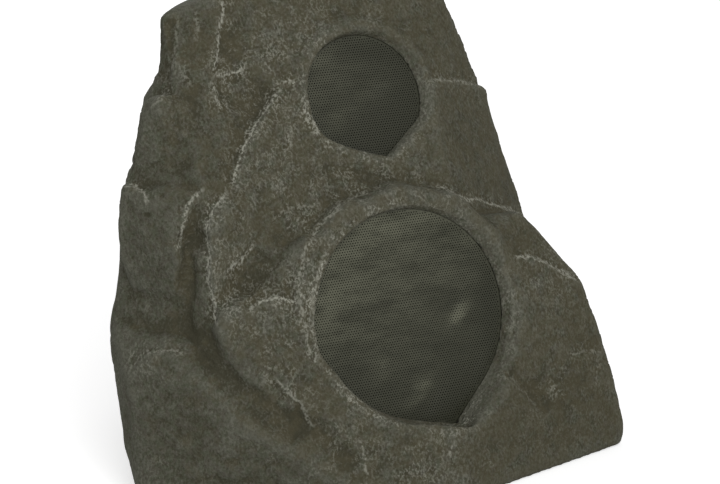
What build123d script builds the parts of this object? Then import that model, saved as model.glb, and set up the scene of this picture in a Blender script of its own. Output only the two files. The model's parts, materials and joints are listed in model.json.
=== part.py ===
"""Rock shaped garden loudspeaker: a hollow cast rock with a woofer low on its front face,
a tweeter above it, a perforated metal grille in each mouth and a screwed base plate.
The front looks along -Y, the ground is Z = 0 and the origin is the middle of the footprint."""

import os
from math import cos, radians, sin, sqrt

from build123d import *

os.makedirs("parts", exist_ok=True)

# The rock as a whole
rock_width = 361.0
rock_depth = 282.0
rock_height = 352.0
wall = 7.0

# Base plate and the ledge it screws up against
plate_thickness = 6.0
plate_gap = 0.5
base_seal = 2.0
ledge_width = 16.0
ledge_thickness = 12.0
base_screw_count = 8
base_screw_radius = 2.0
base_screw_bite = 9.0
base_head_radius = 4.0
base_head_height = 2.6

# Fits that several pieces share
screw_gap = 0.1
head_gap = 0.4
glue_gap = 0.25
running_gap = 0.7

# Grilles, pressed from perforated sheet with a turned back rim
grille_sheet = 1.0
grille_depth = 6.0
grille_gap = 0.3
seat_ledge = 5.0

# Woofer mouth in the rock
woofer_tilt = 14.0
woofer_recess_radius = 75.0
woofer_corner_turn = -71.0
woofer_corner_spread = 26.0
woofer_seat = 8.0
woofer_boss_margin = 29.0
brow_margin = 15.0
brow_lip = 7.0
brow_depth = 40.0
woofer_hole_pitch = 13.6
woofer_hole_radius = 5.2

# Tweeter mouth in the rock
tweeter_tilt = 22.5
tweeter_recess_radius = 45.0
tweeter_seat = 6.0
tweeter_boss_margin = 16.0
lip_margin = 10.0
lip_height = 8.0
lip_depth = 8.0
tweeter_hole_pitch = 11.4
tweeter_hole_radius = 4.2

# Woofer
woofer_seal = 1.5
flange_margin = 7.0
flange_sheet = 2.0
flange_inner_margin = 9.0
basket_depth = 44.0
basket_step = 29.0
basket_step_radius = 52.0
basket_foot_radius = 42.0
window_count = 6
window_width = 30.0
surround_width = 12.0
surround_height = 5.0
surround_drop = 3.0
rubber_sheet = 0.8
cone_sheet = 1.0
cone_depth = 23.0
dust_cap_radius = 19.0
dust_cap_rise = 6.0
coil_radius = 13.0
coil_wall = 0.5
coil_winding = 0.8
winding_length = 10.0
spider_sheet = 0.8
spider_drop = 3.0
top_plate_thickness = 5.0
magnet_radius = 42.0
magnet_bore = 22.0
magnet_thickness = 15.0
yoke_thickness = 5.0
yoke_vent_radius = 3.0
woofer_screw_count = 6
woofer_screw_radius = 2.0
woofer_screw_bite = 6.0
woofer_head_radius = 3.6
woofer_head_height = 2.4
tag_width = 18.0
tag_height = 9.0
tag_depth = 6.0

# Tweeter
tweeter_seal = 1.5
faceplate_margin = 6.0
faceplate_thickness = 4.0
dome_radius = 13.0
dome_rise = 4.5
dome_edge = 5.0
dome_sheet = 0.6
horn_radius = 27.0
tweeter_magnet_radius = 34.0
tweeter_magnet_bore = 17.0
tweeter_magnet_thickness = 12.0
tweeter_yoke_thickness = 4.0
tweeter_screw_count = 4
tweeter_screw_radius = 1.5
tweeter_screw_bite = 4.5
tweeter_head_radius = 2.8
tweeter_head_height = 2.0

# Crossover on the base plate
board_length = 96.0
board_width = 62.0
board_thickness = 1.6
standoff_height = 8.0
standoff_radius = 4.0
standoff_inset = 5.0
board_screw_radius = 1.5
board_screw_bite = 6.0
board_head_radius = 2.8
board_head_height = 2.0
choke_radius = 15.0
choke_bore = 6.0
choke_height = 14.0
capacitor_radius = 8.0
capacitor_length = 30.0
resistor_length = 24.0
resistor_size = 9.0
terminal_length = 20.0
terminal_width = 10.0
terminal_height = 11.0
lead_radius = 2.0

# Cable gland in a round pocket at the back
gland_height = 36.0
gland_pocket_depth = 18.0
gland_pocket_radius = 17.0
gland_wall = 8.0
gland_thread_radius = 6.0
gland_bore_radius = 3.5
gland_seal_thickness = 1.5
gland_seal_radius = 9.0
gland_hex_radius = 11.0
gland_collar = 5.0
gland_spigot_radius = 7.5
gland_spigot_length = 7.0
gland_nut_length = 8.5
gland_tail = 10.0
locknut_thickness = 5.0


def corner(x, y, z):
    """A point of the rock in hundredths of its half width, half depth and height."""
    return (x / 100 * rock_width / 2, y / 100 * rock_depth / 2, z / 100 * rock_height)


# The rock is a heap of faceted lumps. Each list holds the corners of one convex lump.
main_mass = (
    (-87, -10, 0), (-65, -52, 0), (99, 4, 0), (68, 82, 0), (1, 100, 0), (-51, 75, 0),
    (-99, -6, 34), (-73, -47, 44), (-70, -40, 55), (30, -43, 53), (-82, 11, 65), (-54, 79, 43),
    (-71, 8, 91.5), (-46, 6, 94), (1, 14, 100), (29, 13, 99.5), (50, 16, 94), (35, 50, 95),
    (7, 67, 94), (-37, 52, 92), (63, 8, 75), (76, -3, 54), (68, 68, 43),
)
right_flank = (
    (32, -19, 74.5), (29, -43, 54.5), (70, 8, 70), (82, -6, 44), (94, 4, 17), (62, -31, 43),
    (68, 57, 67), (84, 54, 28), (12, 33, 74.5), (12, 33, 28),
)
front_apron = (
    (96, -76, 0), (97, -75, 4), (94, -70, 14), (10, -100, 0), (-21, -96, 0), (11, -91, 13),
    (-45, -64, 33.5), (55, -65, 33.5), (-29, -81, 17), (85, -56, 34), (89, -63, 26), (62, -42, 49),
    (100, -8, 0), (-74, -54, 37.5), (-70, -58, 29), (-55, -70, 22), (-60, 4, 0), (92, 34, 0),
    (-60, -3, 47), (80, 10, 42), (-35, -52, 50), (43, -54, 47), (94, -14, 24),
)
left_foot = (
    (-95, -40, 0), (-27, -95, 0), (-15, -52, 0), (-65, 33, 0), (-87, -3, 0), (-100, -10, 34.5),
    (-98, -32, 3), (-99.5, -18, 12), (-99, -28, 27), (-94, -31, 31), (-89, -40, 32), (-82, -48, 29),
    (-66, -70, 18), (-35, -89, 7.5), (-60, 4, 35.5), (-62, -50, 36), (-47, -65, 25), (-27, -82, 10),
)
left_knee = (
    (-94, -10, 61.5), (-96, -10, 55), (-96, -10, 46.5), (-93, -13, 41), (-71, -33, 61),
    (-79, -35, 57), (-82, -38, 51.5), (-87, -23, 60.5), (-65, 4, 65), (-65, 18, 45), (-82, -36, 41),
)
left_shoulder = (
    (-84, -6, 76), (-91, -6, 62), (-80, -13, 78), (-68, -17, 75), (-66, -26, 66), (-83, -16, 59),
    (-54, 4, 77), (-66, 22, 58),
)
lumps = (main_mass, right_flank, front_apron, left_foot, left_knee, left_shoulder)


def mouth_plane(centre, tilt):
    """The front face of a grille, leaning back by tilt degrees."""
    lean = radians(tilt)
    return Plane(origin=centre, x_dir=(1, 0, 0), z_dir=(0, -cos(lean), sin(lean)))


def section_plane(face):
    """The plane through a speaker's axis: across is its radius, up is outward."""
    return Plane(origin=face.origin, x_dir=face.x_dir, z_dir=-face.y_dir)


woofer_face = mouth_plane(corner(5, -59, 33), woofer_tilt)
tweeter_face = mouth_plane(corner(5, -13.5, 73), tweeter_tilt)
woofer_cut = section_plane(woofer_face)
tweeter_cut = section_plane(tweeter_face)
woofer_axis = Axis(woofer_face.origin, woofer_face.z_dir)
tweeter_axis = Axis(tweeter_face.origin, tweeter_face.z_dir)


def woofer_mouth(radius):
    """Sketches the woofer's round mouth, drawn out to one corner low on its right."""
    tangent = Vector(radius, 0)
    tip = Vector(radius / cos(radians(woofer_corner_spread)), 0).rotate(Axis.Z, woofer_corner_turn)
    Circle(radius)
    Polygon(
        (0, 0),
        tangent.rotate(Axis.Z, woofer_corner_turn - woofer_corner_spread),
        tip,
        tangent.rotate(Axis.Z, woofer_corner_turn + woofer_corner_spread),
        align=None,
    )


def chipped_lump(corners, inset):
    """One lump, with every face but its foot moved in by inset."""
    with BuildPart() as lump:
        ConvexPolyhedron([corner(*c) for c in corners])
        if inset > 0:
            sides = lump.faces().filter_by(lambda f: f.normal_at().Z > -0.99)
            for side in sides:
                split(bisect_by=Plane(side).offset(-inset), keep=Keep.BOTTOM)
    return lump.part


def rock_form(inset):
    """The whole rock with its skin moved in by inset."""
    stones = [chipped_lump(c, inset) for c in lumps]
    with BuildPart() as form:
        add(stones)
        with BuildSketch(woofer_face.offset(brow_lip - inset)):
            RegularPolygon(woofer_recess_radius + brow_margin - inset, 12)
        with BuildSketch(woofer_face.offset(inset - brow_depth)):
            RegularPolygon(woofer_recess_radius + woofer_boss_margin - inset, 12)
        loft()
        with BuildSketch(tweeter_face.offset(lip_height - inset)):
            RegularPolygon(tweeter_recess_radius + lip_margin - inset, 12)
        with BuildSketch(tweeter_face.offset(-lip_depth)):
            RegularPolygon(tweeter_recess_radius + tweeter_boss_margin - inset, 12)
        loft()
    return form.part


def foot_outline(inset):
    """The rock's footprint, moved in by inset."""
    return offset(footprint, -inset, kind=Kind.INTERSECTION, mode=Mode.PRIVATE).face()


# Levels that pieces share, measured along each speaker's axis from the grille's face
woofer_seat_back = grille_depth + woofer_seat
woofer_flange_front = woofer_seat_back + woofer_seal
woofer_flange_back = woofer_flange_front + flange_sheet
woofer_opening_radius = woofer_recess_radius - seat_ledge
flange_radius = woofer_recess_radius + flange_margin
flange_inner_radius = woofer_recess_radius - flange_inner_margin
woofer_screw_circle = (woofer_opening_radius + flange_radius) / 2
tweeter_seat_back = grille_depth + tweeter_seat
faceplate_front = tweeter_seat_back + tweeter_seal
faceplate_back = faceplate_front + faceplate_thickness
tweeter_opening_radius = tweeter_recess_radius - seat_ledge
faceplate_radius = tweeter_recess_radius + faceplate_margin
tweeter_screw_circle = (tweeter_opening_radius + faceplate_radius) / 2
ledge_bottom = plate_thickness + base_seal
ledge_top = ledge_bottom + ledge_thickness
gland_x = corner(1, 0, 0)[0]
gland_face = Plane(
    origin=(gland_x, rock_depth / 2 - gland_pocket_depth, gland_height),
    x_dir=(-1, 0, 0),
    z_dir=(0, 1, 0),
)
board_at = corner(0, 44, 0)
board_bottom = plate_thickness + standoff_height
board_top = board_bottom + board_thickness

outer_form = rock_form(0)
inner_form = rock_form(wall)
footprint = outer_form.faces().sort_by(Axis.Z)[0]
pocket_outline = foot_outline(wall)
plate_outline = foot_outline(wall + plate_gap)
ledge_outline = foot_outline(wall + ledge_width)
screw_path = foot_outline(wall + ledge_width / 2).outer_wire()
base_screw_spots = [screw_path.position_at(i / base_screw_count) for i in range(base_screw_count)]

# The hollow inside the rock, with solid bosses left round the three mouths
with BuildPart() as cavity:
    add(inner_form)
    split(bisect_by=Plane.XY.offset(ledge_top), keep=Keep.TOP)
    with BuildSketch(woofer_face.offset(-woofer_seat_back)):
        Circle(woofer_recess_radius + woofer_boss_margin)
    extrude(amount=rock_depth, mode=Mode.SUBTRACT)
    with BuildSketch(tweeter_face.offset(-tweeter_seat_back)):
        Circle(tweeter_recess_radius + tweeter_boss_margin)
    extrude(amount=rock_depth, mode=Mode.SUBTRACT)
    with BuildSketch(gland_face.offset(-gland_wall)):
        Circle(gland_pocket_radius + wall)
    extrude(amount=rock_depth, mode=Mode.SUBTRACT)

# The cast rock
with BuildPart() as rock_shell:
    add(outer_form)
    add(cavity.part, mode=Mode.SUBTRACT)
    extrude(pocket_outline, amount=ledge_bottom, dir=(0, 0, 1), mode=Mode.SUBTRACT)
    extrude(ledge_outline, amount=ledge_top, dir=(0, 0, 1), mode=Mode.SUBTRACT)
    with BuildSketch(woofer_face.offset(-grille_depth)):
        woofer_mouth(woofer_recess_radius)
    extrude(amount=rock_depth, mode=Mode.SUBTRACT)
    with BuildSketch(woofer_face.offset(-grille_depth)):
        Circle(woofer_opening_radius)
    extrude(amount=-woofer_seat, mode=Mode.SUBTRACT)
    with BuildSketch(woofer_face.offset(-woofer_seat_back)):
        Circle(flange_radius + head_gap)
    extrude(amount=-basket_depth, mode=Mode.SUBTRACT)
    with BuildSketch(woofer_face.offset(-woofer_seat_back)):
        with PolarLocations(woofer_screw_circle, woofer_screw_count):
            Circle(woofer_screw_radius + screw_gap)
    extrude(amount=woofer_screw_bite, mode=Mode.SUBTRACT)
    with BuildSketch(tweeter_face.offset(-grille_depth)):
        Circle(tweeter_recess_radius)
    extrude(amount=rock_depth, mode=Mode.SUBTRACT)
    with BuildSketch(tweeter_face.offset(-grille_depth)):
        Circle(tweeter_opening_radius)
    extrude(amount=-tweeter_seat, mode=Mode.SUBTRACT)
    with BuildSketch(tweeter_face.offset(-tweeter_seat_back)):
        Circle(faceplate_radius + head_gap)
    extrude(amount=-faceplate_thickness * 4, mode=Mode.SUBTRACT)
    with BuildSketch(tweeter_face.offset(-tweeter_seat_back)):
        with PolarLocations(tweeter_screw_circle, tweeter_screw_count, 45):
            Circle(tweeter_screw_radius + screw_gap)
    extrude(amount=tweeter_screw_bite, mode=Mode.SUBTRACT)
    with BuildSketch(gland_face):
        Circle(gland_pocket_radius)
    extrude(amount=rock_depth, mode=Mode.SUBTRACT)
    with BuildSketch(gland_face):
        Circle(gland_thread_radius + screw_gap)
    extrude(amount=-gland_wall, mode=Mode.SUBTRACT)
    with BuildSketch(Plane.XY.offset(ledge_bottom)):
        with Locations(*base_screw_spots):
            Circle(base_screw_radius + screw_gap)
    extrude(amount=base_screw_bite, mode=Mode.SUBTRACT)
rock_shell.part.label = "rock_shell"
export_step(rock_shell.part, "parts/rock_shell.step")

# Grilles: flat perforated sheets whose turned rims rest on the ledges in the rock
def hole_spots(pitch, reach):
    """Centres of staggered holes that lie within reach of the middle."""
    row_step = pitch * sqrt(3) / 2
    rows = int(reach / row_step)
    columns = int(reach / pitch) + 1
    spots = []
    for row in range(-rows, rows + 1):
        for column in range(-columns, columns + 1):
            x = (column + row % 2 / 2) * pitch
            if x * x + (row * row_step) ** 2 <= reach * reach:
                spots.append((x, row * row_step))
    return spots


woofer_grille_radius = woofer_recess_radius - grille_gap
tweeter_grille_radius = tweeter_recess_radius - grille_gap

with BuildPart() as woofer_grille:
    with BuildSketch(woofer_face):
        woofer_mouth(woofer_grille_radius)
        with Locations(*hole_spots(woofer_hole_pitch, woofer_grille_radius - woofer_hole_pitch / 2)):
            RegularPolygon(woofer_hole_radius, 6, mode=Mode.SUBTRACT)
    extrude(amount=-grille_sheet)
    with BuildSketch(woofer_face.offset(-grille_sheet)):
        woofer_mouth(woofer_grille_radius)
        offset(amount=-grille_sheet, kind=Kind.INTERSECTION, mode=Mode.SUBTRACT)
    extrude(amount=grille_sheet - grille_depth)
woofer_grille.part.label = "woofer_grille"
export_step(woofer_grille.part, "parts/woofer_grille.step")

with BuildPart() as tweeter_grille:
    with BuildSketch(tweeter_face):
        Circle(tweeter_grille_radius)
        with Locations(*hole_spots(tweeter_hole_pitch, tweeter_grille_radius - tweeter_hole_pitch / 2)):
            RegularPolygon(tweeter_hole_radius, 6, mode=Mode.SUBTRACT)
    extrude(amount=-grille_sheet)
    with BuildSketch(tweeter_face.offset(-grille_sheet)):
        Circle(tweeter_grille_radius)
        Circle(tweeter_grille_radius - grille_sheet, mode=Mode.SUBTRACT)
    extrude(amount=grille_sheet - grille_depth)
tweeter_grille.part.label = "tweeter_grille"
export_step(tweeter_grille.part, "parts/tweeter_grille.step")

# Woofer, fixed from inside against the back of its seat.
# Levels along its axis, outward from the grille's face and so all below zero
flange_level = -woofer_flange_front
step_level = flange_level - basket_step
foot_level = flange_level - basket_depth
roll_inner_radius = flange_inner_radius - surround_width
cone_level = flange_level - surround_drop - glue_gap
neck_radius = coil_radius + coil_wall + glue_gap
neck_level = cone_level - cone_depth
gap_level = foot_level - top_plate_thickness / 2
magnet_level = foot_level - top_plate_thickness
yoke_level = magnet_level - magnet_thickness

with BuildPart() as woofer_gasket:
    with BuildSketch(woofer_face.offset(-woofer_seat_back)):
        Circle(flange_radius)
        Circle(woofer_opening_radius, mode=Mode.SUBTRACT)
        with PolarLocations(woofer_screw_circle, woofer_screw_count):
            Circle(woofer_screw_radius + screw_gap, mode=Mode.SUBTRACT)
    extrude(amount=-woofer_seal)
woofer_gasket.part.label = "woofer_gasket"
export_step(woofer_gasket.part, "parts/woofer_gasket.step")

with BuildPart() as woofer_basket:
    with BuildSketch(woofer_cut):
        with BuildLine():
            Polyline(
                (flange_radius, flange_level),
                (flange_inner_radius, flange_level),
                (basket_step_radius, step_level),
                (basket_foot_radius, step_level),
                (basket_foot_radius - flange_sheet, foot_level + flange_sheet),
                (magnet_bore, foot_level + flange_sheet),
                (magnet_bore, foot_level),
                (basket_foot_radius, foot_level),
                (basket_foot_radius + flange_sheet, step_level - flange_sheet),
                (basket_step_radius + flange_sheet, step_level - flange_sheet),
                (flange_inner_radius + flange_sheet, flange_level - flange_sheet),
                (flange_radius, flange_level - flange_sheet),
                close=True,
            )
        make_face()
    revolve(axis=woofer_axis)
    with BuildSketch(woofer_face.offset(flange_level - 3 * flange_sheet)):
        with PolarLocations((flange_inner_radius + basket_step_radius) / 2, window_count):
            Rectangle(flange_inner_radius - basket_step_radius + 4 * flange_sheet, window_width)
    extrude(amount=-(basket_step - 5 * flange_sheet), mode=Mode.SUBTRACT)
    with BuildSketch(woofer_face.offset(flange_level)):
        with PolarLocations(woofer_screw_circle, woofer_screw_count):
            Circle(woofer_screw_radius + screw_gap)
    extrude(amount=-flange_sheet, mode=Mode.SUBTRACT)
woofer_basket.part.label = "woofer_basket"
export_step(woofer_basket.part, "parts/woofer_basket.step")

with BuildPart() as woofer_screws:
    with BuildSketch(woofer_face.offset(flange_level - flange_sheet)):
        with PolarLocations(woofer_screw_circle, woofer_screw_count):
            Circle(woofer_head_radius)
    extrude(amount=-woofer_head_height)
    with BuildSketch(woofer_face.offset(flange_level - flange_sheet)):
        with PolarLocations(woofer_screw_circle, woofer_screw_count):
            Circle(woofer_screw_radius)
    extrude(amount=flange_sheet + woofer_seal + woofer_screw_bite - head_gap)
woofer_screws.part.label = "woofer_screws"
export_step(woofer_screws.part, "parts/woofer_screws.step")

with BuildPart() as woofer_surround:
    with BuildSketch(woofer_cut):
        with BuildLine():
            Polyline(
                (woofer_opening_radius - grille_gap, flange_level),
                (woofer_opening_radius - grille_gap, flange_level + rubber_sheet),
                (flange_inner_radius, flange_level + rubber_sheet),
                (flange_inner_radius - surround_width / 4, flange_level + surround_height),
                (roll_inner_radius + surround_width / 4, flange_level + surround_height),
                (roll_inner_radius, flange_level - surround_drop + rubber_sheet),
                (roll_inner_radius - seat_ledge, flange_level - surround_drop + rubber_sheet),
                (roll_inner_radius - seat_ledge, flange_level - surround_drop),
                (roll_inner_radius + rubber_sheet, flange_level - surround_drop),
                (roll_inner_radius + surround_width / 4, flange_level + surround_height - rubber_sheet),
                (flange_inner_radius - surround_width / 4, flange_level + surround_height - rubber_sheet),
                (flange_inner_radius - rubber_sheet, flange_level),
                close=True,
            )
        make_face()
    revolve(axis=woofer_axis)
woofer_surround.part.label = "woofer_surround"
export_step(woofer_surround.part, "parts/woofer_surround.step")

with BuildPart() as woofer_cone:
    with BuildSketch(woofer_cut):
        with BuildLine():
            Polyline(
                (roll_inner_radius, cone_level),
                (roll_inner_radius - seat_ledge, cone_level),
                (neck_radius, neck_level),
                (neck_radius, neck_level - cone_sheet),
                (roll_inner_radius - seat_ledge, cone_level - cone_sheet),
                (roll_inner_radius, cone_level - cone_sheet),
                close=True,
            )
        make_face()
    revolve(axis=woofer_axis)
woofer_cone.part.label = "woofer_cone"
export_step(woofer_cone.part, "parts/woofer_cone.step")

cone_slope = cone_depth / (roll_inner_radius - seat_ledge - neck_radius)
cap_level = neck_level + cone_slope * (dust_cap_radius - neck_radius) + glue_gap

with BuildPart() as woofer_dust_cap:
    with BuildSketch(woofer_cut):
        with BuildLine():
            Polyline(
                (0, cap_level + dust_cap_rise),
                (dust_cap_radius * 0.6, cap_level + dust_cap_rise * 0.7),
                (dust_cap_radius, cap_level),
                (dust_cap_radius - cone_sheet, cap_level),
                (dust_cap_radius * 0.6 - cone_sheet / 2, cap_level + dust_cap_rise * 0.7 - cone_sheet),
                (0, cap_level + dust_cap_rise - cone_sheet),
                close=True,
            )
        make_face()
    revolve(axis=woofer_axis)
woofer_dust_cap.part.label = "woofer_dust_cap"
export_step(woofer_dust_cap.part, "parts/woofer_dust_cap.step")

with BuildPart() as woofer_voice_coil:
    with BuildSketch(woofer_cut):
        with BuildLine():
            Polyline(
                (coil_radius, neck_level + cone_sheet),
                (coil_radius + coil_wall, neck_level + cone_sheet),
                (coil_radius + coil_wall, gap_level + winding_length / 2),
                (coil_radius + coil_wall + coil_winding, gap_level + winding_length / 2),
                (coil_radius + coil_wall + coil_winding, gap_level - winding_length / 2),
                (coil_radius, gap_level - winding_length / 2),
                close=True,
            )
        make_face()
    revolve(axis=woofer_axis)
woofer_voice_coil.part.label = "woofer_voice_coil"
export_step(woofer_voice_coil.part, "parts/woofer_voice_coil.step")

with BuildPart() as woofer_spider:
    with BuildSketch(woofer_cut):
        with BuildLine():
            Polyline(
                (basket_step_radius - flange_sheet, step_level),
                (basket_step_radius - flange_sheet, step_level + spider_sheet),
                (basket_foot_radius, step_level + spider_sheet),
                (basket_foot_radius * 0.7, step_level + spider_sheet - spider_drop * 0.3),
                (neck_radius + seat_ledge, step_level + spider_sheet - spider_drop),
                (neck_radius, step_level + spider_sheet - spider_drop),
                (neck_radius, step_level - spider_drop),
                (neck_radius + seat_ledge, step_level - spider_drop),
                (basket_foot_radius * 0.7, step_level - spider_drop * 0.3),
                (basket_foot_radius - spider_sheet, step_level),
                close=True,
            )
        make_face()
    revolve(axis=woofer_axis)
woofer_spider.part.label = "woofer_spider"
export_step(woofer_spider.part, "parts/woofer_spider.step")

with BuildPart() as woofer_top_plate:
    with BuildSketch(woofer_face.offset(foot_level)):
        Circle(basket_foot_radius - flange_sheet)
        Circle(coil_radius + coil_wall + coil_winding + running_gap, mode=Mode.SUBTRACT)
    extrude(amount=-top_plate_thickness)
woofer_top_plate.part.label = "woofer_top_plate"
export_step(woofer_top_plate.part, "parts/woofer_top_plate.step")

with BuildPart() as woofer_magnet:
    with BuildSketch(woofer_face.offset(magnet_level)):
        Circle(magnet_radius)
        Circle(magnet_bore, mode=Mode.SUBTRACT)
    extrude(amount=-magnet_thickness)
woofer_magnet.part.label = "woofer_magnet"
export_step(woofer_magnet.part, "parts/woofer_magnet.step")

with BuildPart() as woofer_yoke:
    with BuildSketch(woofer_face.offset(yoke_level)):
        Circle(basket_foot_radius - flange_sheet)
    extrude(amount=-yoke_thickness)
    with BuildSketch(woofer_face.offset(yoke_level)):
        Circle(coil_radius - running_gap)
    extrude(amount=foot_level - yoke_level)
    with BuildSketch(woofer_face.offset(foot_level)):
        Circle(yoke_vent_radius)
    extrude(amount=yoke_level - foot_level - yoke_thickness, mode=Mode.SUBTRACT)
woofer_yoke.part.label = "woofer_yoke"
export_step(woofer_yoke.part, "parts/woofer_yoke.step")

tag_radius = (flange_inner_radius + flange_sheet + flange_radius) / 2

with BuildPart() as woofer_terminal:
    with BuildSketch(woofer_face.offset(flange_level - flange_sheet)):
        with Locations((0, -tag_radius)):
            Rectangle(tag_width, tag_height)
    extrude(amount=-tag_depth)
woofer_terminal.part.label = "woofer_terminal"
export_step(woofer_terminal.part, "parts/woofer_terminal.step")

# Tweeter, fixed from inside in the same way
plate_front = -faceplate_front
plate_back = -faceplate_back
dome_edge_radius = dome_radius + dome_edge
motor_level = plate_back - dome_sheet
tweeter_yoke_level = motor_level - tweeter_magnet_thickness

with BuildPart() as tweeter_gasket:
    with BuildSketch(tweeter_face.offset(-tweeter_seat_back)):
        Circle(faceplate_radius)
        Circle(tweeter_opening_radius, mode=Mode.SUBTRACT)
        with PolarLocations(tweeter_screw_circle, tweeter_screw_count, 45):
            Circle(tweeter_screw_radius + screw_gap, mode=Mode.SUBTRACT)
    extrude(amount=-tweeter_seal)
tweeter_gasket.part.label = "tweeter_gasket"
export_step(tweeter_gasket.part, "parts/tweeter_gasket.step")

with BuildPart() as tweeter_faceplate:
    with BuildSketch(tweeter_cut):
        with BuildLine():
            Polyline(
                (faceplate_radius, plate_front),
                (horn_radius, plate_front),
                (dome_edge_radius - dome_edge / 3, plate_back),
                (faceplate_radius, plate_back),
                close=True,
            )
        make_face()
    revolve(axis=tweeter_axis)
    with BuildSketch(tweeter_face.offset(plate_front)):
        with PolarLocations(tweeter_screw_circle, tweeter_screw_count, 45):
            Circle(tweeter_screw_radius + screw_gap)
    extrude(amount=-faceplate_thickness, mode=Mode.SUBTRACT)
tweeter_faceplate.part.label = "tweeter_faceplate"
export_step(tweeter_faceplate.part, "parts/tweeter_faceplate.step")

with BuildPart() as tweeter_dome:
    with BuildSketch(tweeter_cut):
        with BuildLine():
            Polyline(
                (0, plate_back + dome_rise),
                (dome_radius * 0.6, plate_back + dome_rise * 0.75),
                (dome_radius, plate_back),
                (dome_edge_radius, plate_back),
                (dome_edge_radius, plate_back - dome_sheet),
                (dome_radius - dome_sheet, plate_back - dome_sheet),
                (dome_radius * 0.6 - dome_sheet, plate_back + dome_rise * 0.75 - dome_sheet),
                (0, plate_back + dome_rise - dome_sheet),
                close=True,
            )
        make_face()
    revolve(axis=tweeter_axis)
tweeter_dome.part.label = "tweeter_dome"
export_step(tweeter_dome.part, "parts/tweeter_dome.step")

with BuildPart() as tweeter_magnet:
    with BuildSketch(tweeter_face.offset(motor_level)):
        Circle(tweeter_magnet_radius)
        Circle(tweeter_magnet_bore, mode=Mode.SUBTRACT)
    extrude(amount=-tweeter_magnet_thickness)
tweeter_magnet.part.label = "tweeter_magnet"
export_step(tweeter_magnet.part, "parts/tweeter_magnet.step")

with BuildPart() as tweeter_yoke:
    with BuildSketch(tweeter_face.offset(tweeter_yoke_level)):
        Circle(tweeter_magnet_radius - flange_sheet)
    extrude(amount=-tweeter_yoke_thickness)
    with BuildSketch(tweeter_face.offset(tweeter_yoke_level)):
        Circle(dome_radius - running_gap)
    extrude(amount=tweeter_magnet_thickness - running_gap)
tweeter_yoke.part.label = "tweeter_yoke"
export_step(tweeter_yoke.part, "parts/tweeter_yoke.step")

with BuildPart() as tweeter_screws:
    with BuildSketch(tweeter_face.offset(plate_back)):
        with PolarLocations(tweeter_screw_circle, tweeter_screw_count, 45):
            Circle(tweeter_head_radius)
    extrude(amount=-tweeter_head_height)
    with BuildSketch(tweeter_face.offset(plate_back)):
        with PolarLocations(tweeter_screw_circle, tweeter_screw_count, 45):
            Circle(tweeter_screw_radius)
    extrude(amount=faceplate_thickness + tweeter_seal + tweeter_screw_bite - head_gap)
tweeter_screws.part.label = "tweeter_screws"
export_step(tweeter_screws.part, "parts/tweeter_screws.step")

# Base plate, its foam seal and its screws
board_spots = GridLocations(board_length - 2 * standoff_inset, board_width - 2 * standoff_inset, 2, 2)

with BuildPart() as base_plate:
    extrude(plate_outline, amount=plate_thickness, dir=(0, 0, 1))
    with BuildSketch():
        with Locations(*base_screw_spots):
            Circle(base_screw_radius + screw_gap)
    extrude(amount=plate_thickness, mode=Mode.SUBTRACT)
    with BuildSketch():
        with Locations(*base_screw_spots):
            Circle(base_head_radius + head_gap)
    extrude(amount=base_head_height + head_gap, mode=Mode.SUBTRACT)
    with BuildSketch(Plane.XY.offset(plate_thickness)):
        with Locations(board_at):
            with board_spots:
                Circle(standoff_radius)
    extrude(amount=standoff_height)
    with BuildSketch(Plane.XY.offset(board_bottom)):
        with Locations(board_at):
            with board_spots:
                Circle(board_screw_radius + screw_gap)
    extrude(amount=-board_screw_bite, mode=Mode.SUBTRACT)
base_plate.part.label = "base_plate"
export_step(base_plate.part, "parts/base_plate.step")

with BuildPart() as base_gasket:
    with BuildSketch(Plane.XY.offset(plate_thickness)):
        add(plate_outline)
        add(ledge_outline, mode=Mode.SUBTRACT)
        with Locations(*base_screw_spots):
            Circle(base_screw_radius + screw_gap, mode=Mode.SUBTRACT)
    extrude(amount=base_seal)
base_gasket.part.label = "base_gasket"
export_step(base_gasket.part, "parts/base_gasket.step")

with BuildPart() as base_screws:
    with BuildSketch(Plane.XY.offset(head_gap)):
        with Locations(*base_screw_spots):
            Circle(base_head_radius)
    extrude(amount=base_head_height)
    with BuildSketch(Plane.XY.offset(head_gap + base_head_height)):
        with Locations(*base_screw_spots):
            Circle(base_screw_radius)
    extrude(amount=ledge_bottom + base_screw_bite - base_head_height - 2 * head_gap)
base_screws.part.label = "base_screws"
export_step(base_screws.part, "parts/base_screws.step")

# Crossover
with BuildPart() as crossover_board:
    with BuildSketch(Plane.XY.offset(board_bottom)):
        with Locations(board_at):
            RectangleRounded(board_length, board_width, standoff_inset / 2)
            with board_spots:
                Circle(board_screw_radius + screw_gap, mode=Mode.SUBTRACT)
    extrude(amount=board_thickness)
crossover_board.part.label = "crossover_board"
export_step(crossover_board.part, "parts/crossover_board.step")

with BuildPart() as crossover_screws:
    with BuildSketch(Plane.XY.offset(board_top)):
        with Locations(board_at):
            with board_spots:
                Circle(board_head_radius)
    extrude(amount=board_head_height)
    with BuildSketch(Plane.XY.offset(board_top)):
        with Locations(board_at):
            with board_spots:
                Circle(board_screw_radius)
    extrude(amount=-(board_thickness + board_screw_bite - head_gap))
crossover_screws.part.label = "crossover_screws"
export_step(crossover_screws.part, "parts/crossover_screws.step")

part_row = board_width / 4
choke_at = (board_at[0] - board_length / 4, board_at[1] + part_row / 4)
capacitor_x = board_at[0] + part_row - capacitor_length / 2

with BuildPart() as crossover_choke:
    with BuildSketch(Plane.XY.offset(board_top)):
        with Locations(choke_at):
            Circle(choke_radius)
            Circle(choke_bore, mode=Mode.SUBTRACT)
    extrude(amount=choke_height)
crossover_choke.part.label = "crossover_choke"
export_step(crossover_choke.part, "parts/crossover_choke.step")

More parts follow.
